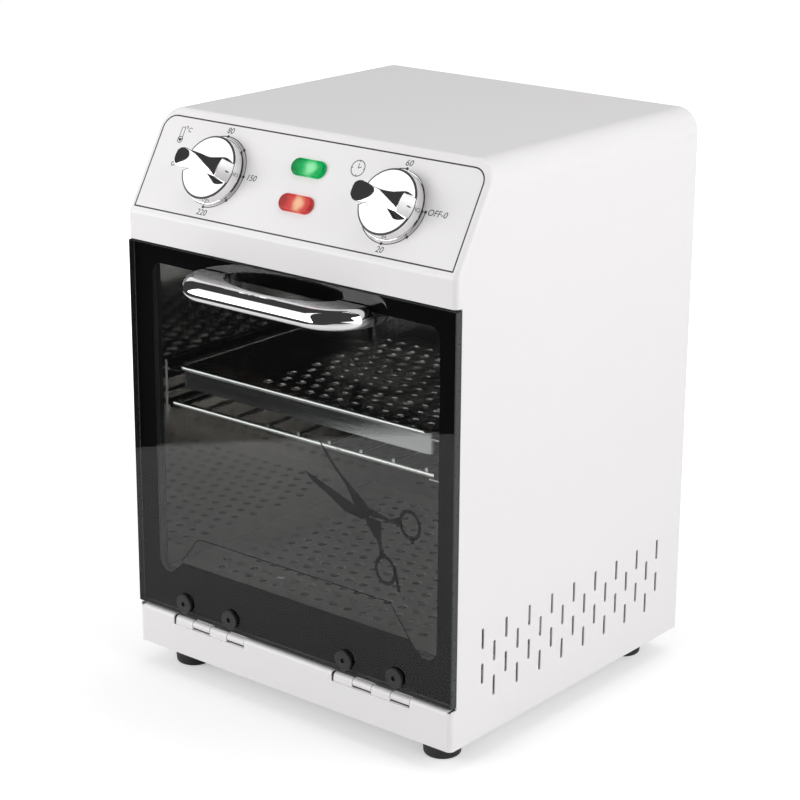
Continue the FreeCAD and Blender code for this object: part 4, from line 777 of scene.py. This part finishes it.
# The dial prints, in millimetres from the panel's middle and up the slope
NUMBERS = (("80", -69.9, 61.3), ("150", -41.0, 34.7), ("220", -70.0, 8.0),
           ("60", 70.3, 61.0), ("OFF-0", 101.6, 34.7), ("20", 70.5, 7.9))
DEGREE_LETTER, DEGREE_RING = (-102.6, 57.3), (-105.3, 58.9)
CLOCK, CLOCK_RADIUS, CLOCK_TICK = (35.4, 52.7), 4.9, (4.6, 3.8)
CLOCK_HANDS = ((0, 3.1), (2.2, 1.1))
BULB, BULB_RADIUS, BULB_CORE = (-108.0, 50.4), 2.0, 1.0
STEM, STEM_RADIUS, STEM_RISE = (-108.0, 51.4), 1.35, 6.0
OFF_MARK_X, OFF_MARK_RADIUS = -106.7, 1.2
MARK_LINE = 0.45 * MM
SCALE_SWEEP = 270  # Degrees


class STERILIZER_OT_panel_print(bpy.types.Operator):
    """Print the outline, the dial scales, the numbers and the small marks on the panel"""
    bl_idname = "sterilizer.panel_print"
    bl_label = "Panel print"

    def execute(self, context):
        values = settings(context, "cabinet")
        ink = unbumped_finish("panel_ink", values.print_ink, 0.5, 0.25)
        for piece in (self.outline(values),
                      self.scale(values, "temperature_scale", DIAL_LEFT.x, -90,
                                 (90, 45, 0, -45, -90)),
                      self.scale(values, "timer_scale", DIAL_RIGHT.x, 90, (90, 0, -45, -90)),
                      self.numbers(values),
                      self.marks(values.print_height)):
            dress(piece, ink, "cabinet")
        return {"FINISHED"}

    def outline(self, values):
        low, high = values.outline_foot, values.outline_head
        middle = (low + high) / 2
        piece = named(add("plane", size=1.0, location=(0, middle, 0)), "panel_outline")
        piece.scale = (2 * values.outline_half_width, high - low, 1)
        settle(piece)
        with picked(piece, points=lambda point: point.y > middle):
            bevelled(values.outline_corner, 10, "VERTICES")
        with picked(piece):
            bpy.ops.mesh.inset(thickness=values.line_width)
            bpy.ops.mesh.delete(type="FACE")
        return settle(raise_flat(piece, values.print_height), panel_matrix(0, 0))

    def scale(self, values, name, x, start, dots):
        height = values.print_height
        parts = [flat_ring(values.scale_radius, values.scale_line, height, start,
                           SCALE_SWEEP, 144)]
        parts += [flat_dot(*around(values.scale_radius, angle), values.dot_radius,
                           1.3 * height) for angle in dots]
        return settle(joined(parts, name), panel_matrix(x, DIAL_RISE))

    def numbers(self, values):
        height = values.print_height
        parts = [flat_text(words, values.number_height, height, x * MM, rise * MM)
                 for words, x, rise in NUMBERS]
        x, rise = DEGREE_LETTER
        parts.append(flat_text("C", values.number_height * 0.8, height, x * MM, rise * MM))
        x, rise = DEGREE_RING
        ring = flat_ring(0.75 * MM, 0.35 * MM, height, steps=24)
        ring.location = (x * MM, rise * MM, 0)
        return settle(joined([*parts, ring], "dial_numbers"), panel_matrix(0, 0))

    def marks(self, height):
        """The clock, the thermometer and the ring at the temperature dial's off position."""
        def ring(radius, x, y, steps=32, line=MARK_LINE):
            made = flat_ring(radius * MM, line, height, steps=steps)
            made.location = (x * MM, y * MM, 0)
            return made

        hands = [flat_bar((0, 0), (x * MM, y * MM), MARK_LINE, height)
                 for x, y in CLOCK_HANDS]
        ticks = [flat_bar(*(around(radius * MM, angle) for radius in CLOCK_TICK), MARK_LINE,
                          height) for angle in (0, 90, 180, -90)]
        clock = joined([ring(CLOCK_RADIUS, 0, 0, 64, 0.5 * MM), *hands, *ticks], "clock_mark")
        clock.location = (CLOCK[0] * MM, CLOCK[1] * MM, 0)
        stem = ring(STEM_RADIUS, 0, 0)
        with picked(stem, points=lambda point: point.y > 0):
            bpy.ops.transform.translate(value=(0, STEM_RISE * MM, 0))
        stem.location = (STEM[0] * MM, STEM[1] * MM, 0)
        bulb = ring(BULB_RADIUS, *BULB, 40)
        core = flat_dot(BULB[0] * MM, BULB[1] * MM, BULB_CORE * MM, height)
        off_mark = ring(OFF_MARK_RADIUS, OFF_MARK_X, DIAL_RISE / MM)
        piece = joined([clock, stem, bulb, core, off_mark], "panel_marks")
        return settle(piece, panel_matrix(0, 0))


class STERILIZER_OT_lamps(bpy.types.Operator):
    """Light the green and the red lens from inside"""
    bl_idname = "sterilizer.lamps"
    bl_label = "Lamps"

    def execute(self, context):
        values = settings(context, "fittings")
        for kind in ("green", "red"):
            low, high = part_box(kind + "_lamp_lens")
            colours = [getattr(values, kind + part) for part in ("_dark", "_body", "_light")]
            spot = (low + high) / 2 + values.glow_offset * RIGHT
            coat(kind + "_lamp_lens", lens_material(kind + "_lamp_glow", *colours, spot,
                                                    (high.x - low.x) * 0.62))
        return {"FINISHED"}


# The prints on the glass, in millimetres across and up from the cabinet's bottom
FOOT_HEIGHT = 16.0
STRIP = ((-95, 62.5), (-82.2, 78.6), (-79.6, 80.9), (-76.2, 81.6), (76.1, 81.7), (79.6, 80.6),
         (82.4, 77.2), (93.6, 62.6), (98.0, 57.4))
SCISSOR_SHAPES = (
    ((23.0, 172.0), (28.5, 163.4), (36.9, 155.3), (44.5, 148.0), (49.0, 141.0), (52.5, 134.5),
     (58.5, 130.8), (62.5, 131.5), (64.8, 135.6), (60.0, 140.2), (48.1, 148.9), (38.5, 155.9),
     (29.5, 165.8)),
    ((11.0, 150.0), (18.5, 144.0), (28.5, 139.6), (44.1, 130.9), (56.0, 129.4), (62.0, 130.4),
     (63.0, 134.0), (52.5, 136.5), (38.5, 141.4), (24.0, 146.0)),
    ((60.5, 137.6), (66.0, 137.4), (72.5, 135.6), (79.0, 134.6), (87.5, 138.4), (87.6, 131.6),
     (82.5, 132.3), (72.7, 132.9), (62.0, 132.6)),
    ((59.0, 131.6), (61.4, 126.6), (65.4, 122.2), (68.6, 118.6), (70.4, 114.2), (71.0, 109.6),
     (75.6, 110.4), (73.0, 114.8), (72.1, 119.7), (72.2, 131.2), (66.0, 131.9)),
)
SCISSOR_RINGS = ((93.9, 134.6, 1.2), (75.3, 101.2, 1.17))  # Each with its stretch
RING_RADIUS, RING_LINE, RING_LEAN = 7.1, 2.1, 14.0
SCISSOR_BARS = ((95.4, 127.6, 96.0, 123.2, 2.6, 2.0), (82.0, 106.0, 86.0, 90.0, 2.4, 1.5))


def drawn(x, z):
    """The place in a flat drawing of a point of the prints on the glass."""
    return x * MM, (z + FOOT_HEIGHT) * MM


class STERILIZER_OT_door(bpy.types.Operator):
    """Make the clear pane, its ground edges and the enamel border fired on its inner face"""
    bl_idname = "sterilizer.door"
    bl_label = "Door glass"

    def execute(self, context):
        values = settings(context, "door")
        pane = copied("door_glass", "door_pane")
        pane.data.materials.clear()
        pane.data.materials.append(pane_material("pane_glass", values.pane_tint))
        pane.data.materials.append(finish("pane_edge", values.edge, 0.3, 0.0, 500, 0.15, 0.1))
        for face in pane.data.polygons:
            face.material_index = 0 if abs(face.normal.y) > 0.99 else 1
            face.use_smooth = False
        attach(pane, "door")
        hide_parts("door_glass")

        border = copied("door_border", "window_border")
        with picked(border, faces=lambda face: face.normal.y < -0.9):
            bpy.ops.transform.translate(value=(0, -values.ink_depth, 0))
        enamel = finish("border_enamel", values.border, 0.9, 0.0, 600, 0.1, 0.0,
                        Specular_IOR_Level=0.0)
        dress(border, enamel, "door")
        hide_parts("door_border")
        self.widen(border)
        self.print_parts(values, enamel, "strip_line", self.strip_line(values))
        self.print_parts(values, enamel, "scissors_mark", self.scissors(values.ink_height))
        return {"FINISHED"}

    def widen(self, border):
        """Carry the enamel out to the ground edge of the pane."""
        rim = 0.3 * MM
        for axis in (0, 2):
            for inner, outer in ((BORDER_LOW[axis], GLASS_LOW[axis] + rim),
                                 (BORDER_HIGH[axis], GLASS_HIGH[axis] - rim)):
                shift = Vector()
                shift[axis] = outer - inner
                with picked(border, points=lambda point: abs(point[axis] - inner) < 5 * NEAR):
                    bpy.ops.transform.translate(value=shift)

    def print_parts(self, values, ink, name, parts):
        """Join flat parts and stand them up on the pane's inner face, biting into it."""
        inner_face = BORDER_LOW.y - values.ink_depth
        stood = (Matrix.Translation((0, inner_face, 0)) @ Matrix.Rotation(math.pi / 2, 4, "X")
                 @ Matrix.Translation((0, 0, -values.ink_height)))
        dress(settle(joined(parts, name), stood), ink, "door")

    def strip_line(self, values):
        points = [drawn(*point) for point in STRIP]
        bars = [flat_bar(start, end, values.strip_line, values.ink_height)
                for start, end in zip(points, points[1:])]
        return bars + [flat_dot(x, y, values.strip_line / 2, values.ink_height, 12)
                       for x, y in points[1:-1]]

    def scissors(self, height):
        """A plain pair of scissors: two blades over a pivot, two shanks, rings and rests."""
        parts = [flat_shape([drawn(*point) for point in outline], height)
                 for outline in SCISSOR_SHAPES]
        for x, z, stretch in SCISSOR_RINGS:
            ring = flat_ring(RING_RADIUS * MM, RING_LINE * MM, height, steps=64)
            ring.scale = (1.0, stretch, 1.0)
            ring.rotation_euler.z = math.radians(RING_LEAN)
            ring.location = (*drawn(x, z), 0)
            parts.append(settle(ring))
        for x, z, end_x, end_z, width, end_width in SCISSOR_BARS:
            parts.append(flat_bar(drawn(x, z), drawn(end_x, end_z), width * MM, height,
                                  end_width * MM))
        return parts


GASKET_INSET = 1.2 * MM
BOW_CORNER = 0.985  # Corner radius of the handle's bow, as a share of its reach


class STERILIZER_OT_handle(bpy.types.Operator):
    """Model the chrome bow handle: a full rounded front, a satin top and its finger opening"""
    bl_idname = "sterilizer.handle"
    bl_label = "Door handle"

    def execute(self, context):
        values = settings(context, "door")
        fittings = settings(context, "fittings")
        low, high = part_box("door_handle")
        reach = FACE_Y - low.y
        rear = FACE_Y - values.gasket
        bow = named(add("plane", size=1.0, location=(0, FACE_Y, low.z)), "chrome_handle")
        bow.scale = (high.x - low.x, 2 * reach, 1)
        settle(bow)
        with picked(bow):
            bevelled(BOW_CORNER * reach, 28, "VERTICES", clamp_overlap=True)
        raise_flat(bow, high.z - low.z)
        for level, radius, steps in ((high.z, values.handle_top_radius, 14),
                                     (low.z, values.handle_foot_radius, 10)):
            with picked(bow, edges=lambda first, second: abs(first.z - level) < NEAR
                        and abs(second.z - level) < NEAR):
                bevelled(radius, steps)
        with picked(bow):
            bpy.ops.mesh.bisect(plane_co=(0, rear, 0), plane_no=(0, 1, 0), clear_outer=True,
                                use_fill=True)
        self.open_grip(bow, values, low, high)
        with picked(bow, faces=lambda face: face.normal.y > 0.99
                    and face.center.y > rear - NEAR):
            bpy.ops.mesh.inset(thickness=GASKET_INSET)
            extrude(0, values.gasket, 0)
        polished(bow)
        dress(bow, chrome_finish("chrome_bow", fittings), "door")
        bow.data.materials.append(finish("chrome_top", fittings.chrome, 0.24, 1.0, 700, 0.03,
                                         dullness=0.03))
        bow.data.materials.append(unbumped_finish("gasket_black", (0.012, 0.012, 0.012), 0.7, 0.1,
                                             scale=700))
        for face in bow.data.polygons:
            if face.normal.z > 0.999 and face.center.z > high.z - NEAR:
                face.material_index = 1
            elif face.center.y > rear + NEAR:
                face.material_index = 2
        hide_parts("door_handle")
        return {"FINISHED"}

    def open_grip(self, bow, values, low, high):
        """Cut the oval finger opening and round its edges."""
        cutter = add("cylinder", vertices=80, radius=1.0, depth=1.0,
                     location=(0, FACE_Y, (low.z + high.z) / 2))
        cutter.scale = (values.grip_half_width, values.grip_depth, 3 * (high.z - low.z))
        settle(cutter)
        modified(bow, "BOOLEAN", operation="DIFFERENCE", object=cutter, solver="EXACT")
        bpy.data.objects.remove(cutter)

        def on_rim(point):
            oval = math.hypot(point.x / values.grip_half_width,
                              (point.y - FACE_Y) / values.grip_depth)
            return (abs(oval - 1.0) < 0.02
                    and min(abs(point.z - low.z), abs(point.z - high.z)) < NEAR)

        with picked(bow, edges=lambda first, second: on_rim(first) and on_rim(second)):
            bevelled(values.grip_edge, 5)


# The knob, in millimetres from its axis and from the panel. SKIRT has radius and height. The
# grip's tables have the way from nose to tail first: half the width at its top and at its
# foot, and where the foot stands below the top
SKIRT = ((21.8, 0.6), (21.8, 1.5), (21.5, 1.8), (21.2, 1.8), (20.3, 7.8))
SKIRT_TOP = 7.8
SEAM = (19.1, 20.35)  # The dark joint round the skirt's face
NOSE, TAIL = -18.2, 16.4
GRIP_TOP = ((-18.2, 3.3), (-17.7, 4.6), (-16.8, 5.7), (-15.2, 6.3), (-12, 5.9), (-8, 5.1),
            (-3, 4.5), (2, 4.5), (8, 5.0), (13, 5.6), (16.4, 5.9))
GRIP_FOOT = ((-18.6, 3.6), (-18.0, 5.4), (-15.4, 7.2), (-10, 7.0), (-5, 6.5), (-1, 6.4),
             (3, 7.0), (7, 8.3), (10, 8.9), (12.5, 8.8), (14.5, 8.2), (16.5, 7.4),
             (18.2, 6.6), (19.1, 6.1))
GRIP_SPREAD = ((-18.2, -18.6), (-15, -15.4), (-5, -5), (2, 2), (6, 6.8), (10, 11.6),
               (13, 15.4), (15, 17.6), (16.4, 19.1))
GRIP_BASE, GRIP_HEIGHT, TAIL_HEIGHT = 7.3, 15.6, 17.4
TAIL_REACH, TAIL_HALF = 20.05, 6.1
EDGE_ROUNDING = 0.8 * MM
TAIL_FACING = (0.8, 0.2)  # Least X and Z of the normals on the grip's sloping tail
EDGE_FOOT, EDGE_FACING = 8.5, (0.4, 0.83)  # Height and normals' Z of the rounded edges that get the painted dark reflection
POINTER_HALF, POINTER_WIDTH, POINTER_HEIGHT = 1.3, 0.8, 0.15
POINTER_SHARE, POINTER_SINK = 0.66, 0.1  # How far down the tail, and how deep in it


class STERILIZER_OT_knobs(bpy.types.Operator):
    """Model the chrome knobs: a skirt with its lip, and a hollow-topped grip over the face"""
    bl_idname = "sterilizer.knobs"
    bl_label = "Knobs"

    def execute(self, context):
        values = settings(context, "fittings")
        first = polished(joined([self.skirt(), self.grip(values)], "knob_first"))
        for made in (chrome_finish("knob_chrome", values),
                     finish("knob_tail", (0.66, 0.655, 0.66), 0.42, 1.0, 700, 0.03,
                            dullness=0.03),
                     unbumped_finish("knob_seam", (0.05, 0.05, 0.051), 0.5, 0.1),
                     # Near-black metal on the grip's rounded edges: a painted dark reflection on
                     # the chrome
                     unbumped_finish("knob_edge_painted_reflection", (0.05, 0.05, 0.051), 0.12, 0.05, 1.0)):
            first.data.materials.append(made)
        for face in first.data.polygons:
            middle, facing = face.center / MM, face.normal
            reach = math.hypot(middle.x, middle.y)
            on_tail = (facing.x > TAIL_FACING[0] and facing.z > TAIL_FACING[1]
                       and middle.z > SKIRT_TOP)
            in_seam = SEAM[0] < reach < SEAM[1] and GRIP_BASE < middle.z < SKIRT_TOP + 0.01
            # The grip's rounded edges are where the dark reflection is painted
            in_painted_reflection = middle.z > EDGE_FOOT and EDGE_FACING[0] < facing.z < EDGE_FACING[1]
            face.material_index = 1 if on_tail else 2 if in_seam else 3 if in_painted_reflection else 0
        mark = self.mark()
        mark.data.materials.append(unbumped_finish("pointer_ink", (0.03, 0.03, 0.03), 0.5, 0.2))
        first = joined([first, mark], "knob_first")
        select_only(first)
        bpy.ops.object.duplicate()
        second = active()
        turned = Matrix.Rotation(-values.knob_turn, 4, "Z")
        for knob, kind, dial in ((first, "temperature", DIAL_LEFT),
                                 (second, "timer", DIAL_RIGHT)):
            named(knob, kind + "_chrome_knob")
            settle(knob, panel_matrix(dial.x, DIAL_RISE) @ turned)
            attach(knob, kind + "_dial")
            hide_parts(kind + "_knob")
        return {"FINISHED"}

    def skirt(self):
        (radius, height), *steps = SKIRT
        piece = settle(add("circle", vertices=128, radius=radius * MM, fill_type="NGON",
                           location=(0, 0, height * MM)))
        with picked(piece):
            for next_radius, next_height in steps:
                extrude(0, 0, (next_height - height) * MM)
                share = next_radius / radius
                bpy.ops.transform.resize(value=(share, share, 1))
                radius, height = next_radius, next_height
            face_outward()
        rim = SKIRT_TOP * MM - NEAR
        with picked(piece, edges=lambda first, second: min(first.z, second.z) > rim):
            bevelled(EDGE_ROUNDING, 5)
        with picked(piece, faces=lambda face: face.normal.z > 0.99 and face.center.z > rim):
            bpy.ops.mesh.inset(thickness=0.4 * MM)
        return piece

    def grip(self, values):
        """The grip: its hollow, crowned top as a grid, and sides that spread to its foot."""
        def top(point):
            along = NOSE + (TAIL - NOSE) * (point.x + 1) / 2
            across = point.y * follow(GRIP_TOP, along)
            away = along - values.grip_hollow_middle
            curve = values.grip_hollow if away > 0 else values.grip_hollow_nose
            hollow = away ** 2 / (2 * curve)
            crown = across ** 2 / (2 * values.grip_crown)
            return (along * MM, across * MM, (GRIP_HEIGHT + hollow - crown) * MM)

        def spread_foot(point):
            if point.z > 0.0:
                return point
            along = point.x / MM
            share = point.y / MM / follow(GRIP_TOP, along)
            if along > TAIL - 0.01:
                half = TAIL_HALF
                foot = math.sqrt(TAIL_REACH ** 2 - (share * half) ** 2)
            else:
                foot = follow(GRIP_SPREAD, along)
                half = follow(GRIP_FOOT, foot)
            return Vector((foot, share * half, GRIP_BASE)) * MM

        piece = shaped(add("grid", x_subdivisions=56, y_subdivisions=16, size=2.0), top)
        with picked(piece, edges=lambda first, second: False):
            bpy.ops.mesh.select_non_manifold()
            extrude(0, 0, -0.03)  # Below the axis's foot, where spread_foot finds the points
        shaped(piece, spread_foot)
        base = GRIP_BASE * MM + NEAR
        with picked(piece, edges=lambda first, second: max(first.z, second.z) < base):
            bpy.ops.mesh.edge_face_add()
            face_outward()
        return modified(piece, "BEVEL", width=EDGE_ROUNDING, segments=5,
                        limit_method="ANGLE", angle_limit=math.radians(42), profile=0.5)

    def mark(self):
        """The short pointer line on the grip's sloping tail."""
        head, foot = Vector((TAIL, 0, TAIL_HEIGHT)), Vector((TAIL_REACH, 0, GRIP_BASE))
        slope = (foot - head).normalized()
        out = Vector((-slope.z, 0, slope.x))
        middle = head + (foot - head) * POINTER_SHARE - out * POINTER_SINK
        turned = Matrix((slope, Vector((0, 1, 0)), out)).transposed().to_4x4()
        piece = flat_bar((-POINTER_HALF * MM, 0), (POINTER_HALF * MM, 0), POINTER_WIDTH * MM,
                         POINTER_HEIGHT * MM)
        return settle(piece, Matrix.Translation(middle * MM) @ turned)


HINGE_X, KNUCKLE = 67.6 * MM, 15 * MM
HINGE_RING_RADIUS, HINGE_RING_WIDTH = 2.62 * MM, 0.32 * MM


class STERILIZER_OT_hinge_rings(bpy.types.Operator):
    """Put thin dark rings between the knuckles of the two hinges, as painted shade in the gaps
    """
    bl_idname = "sterilizer.hinge_rings"
    bl_label = "Hinge rings"

    def execute(self, context):
        hinge = Vector(JOINTS["door_hinge"]["pos_m"])
        rings = [settle(add("cylinder", vertices=40, radius=HINGE_RING_RADIUS,
                            depth=HINGE_RING_WIDTH,
                            location=(side * HINGE_X + step * KNUCKLE, hinge.y, hinge.z),
                            rotation=(0, math.pi / 2, 0)))
                 for side in (-1, 1) for step in (-2, -1, 0, 1, 2)]
        # The dark rings are painted shade in the gaps between the knuckles
        dress(joined(rings, "hinge_rings"),
              finish("knuckle_gap_shade", (0.06, 0.06, 0.062), 0.6, 0.0, 900, 0.2),
              "cabinet")
        return {"FINISHED"}


class STERILIZER_PT_panel(bpy.types.Panel):
    """The operators and sizes of the sterilizer"""
    bl_label = "Sterilizer"
    bl_idname = "STERILIZER_PT_panel"
    bl_space_type = "VIEW_3D"
    bl_region_type = "UI"
    bl_category = "Sterilizer"

    def draw(self, context):
        for operator in OPERATORS:
            self.layout.operator(operator.bl_idname)
        for name, group in SETTINGS.items():
            box = self.layout.box()
            box.label(text=name.capitalize())
            values = settings(context, name)
            for key in group.__annotations__:
                box.prop(values, key)


OPERATORS = (STERILIZER_OT_studio, STERILIZER_OT_finishes, STERILIZER_OT_panel_print,
             STERILIZER_OT_lamps, STERILIZER_OT_door, STERILIZER_OT_handle,
             STERILIZER_OT_knobs, STERILIZER_OT_hinge_rings)


def register():
    for group in SETTINGS.values():
        bpy.utils.register_class(group)
    for name, group in SETTINGS.items():
        setattr(bpy.types.Scene, "sterilizer_" + name, PointerProperty(type=group))
    for made in (*OPERATORS, STERILIZER_PT_panel):
        bpy.utils.register_class(made)


def unregister():
    for made in (STERILIZER_PT_panel, *reversed(OPERATORS)):
        bpy.utils.unregister_class(made)
    for name in SETTINGS:
        delattr(bpy.types.Scene, "sterilizer_" + name)
    for group in reversed(tuple(SETTINGS.values())):
        bpy.utils.unregister_class(group)


def main():
    register()
    for operator in OPERATORS:
        family, name = operator.bl_idname.split(".")
        result = getattr(getattr(bpy.ops, family), name)()
        if "FINISHED" not in result:
            raise RuntimeError(operator.bl_idname + " did not finish")


if __name__ == "__main__":
    main()
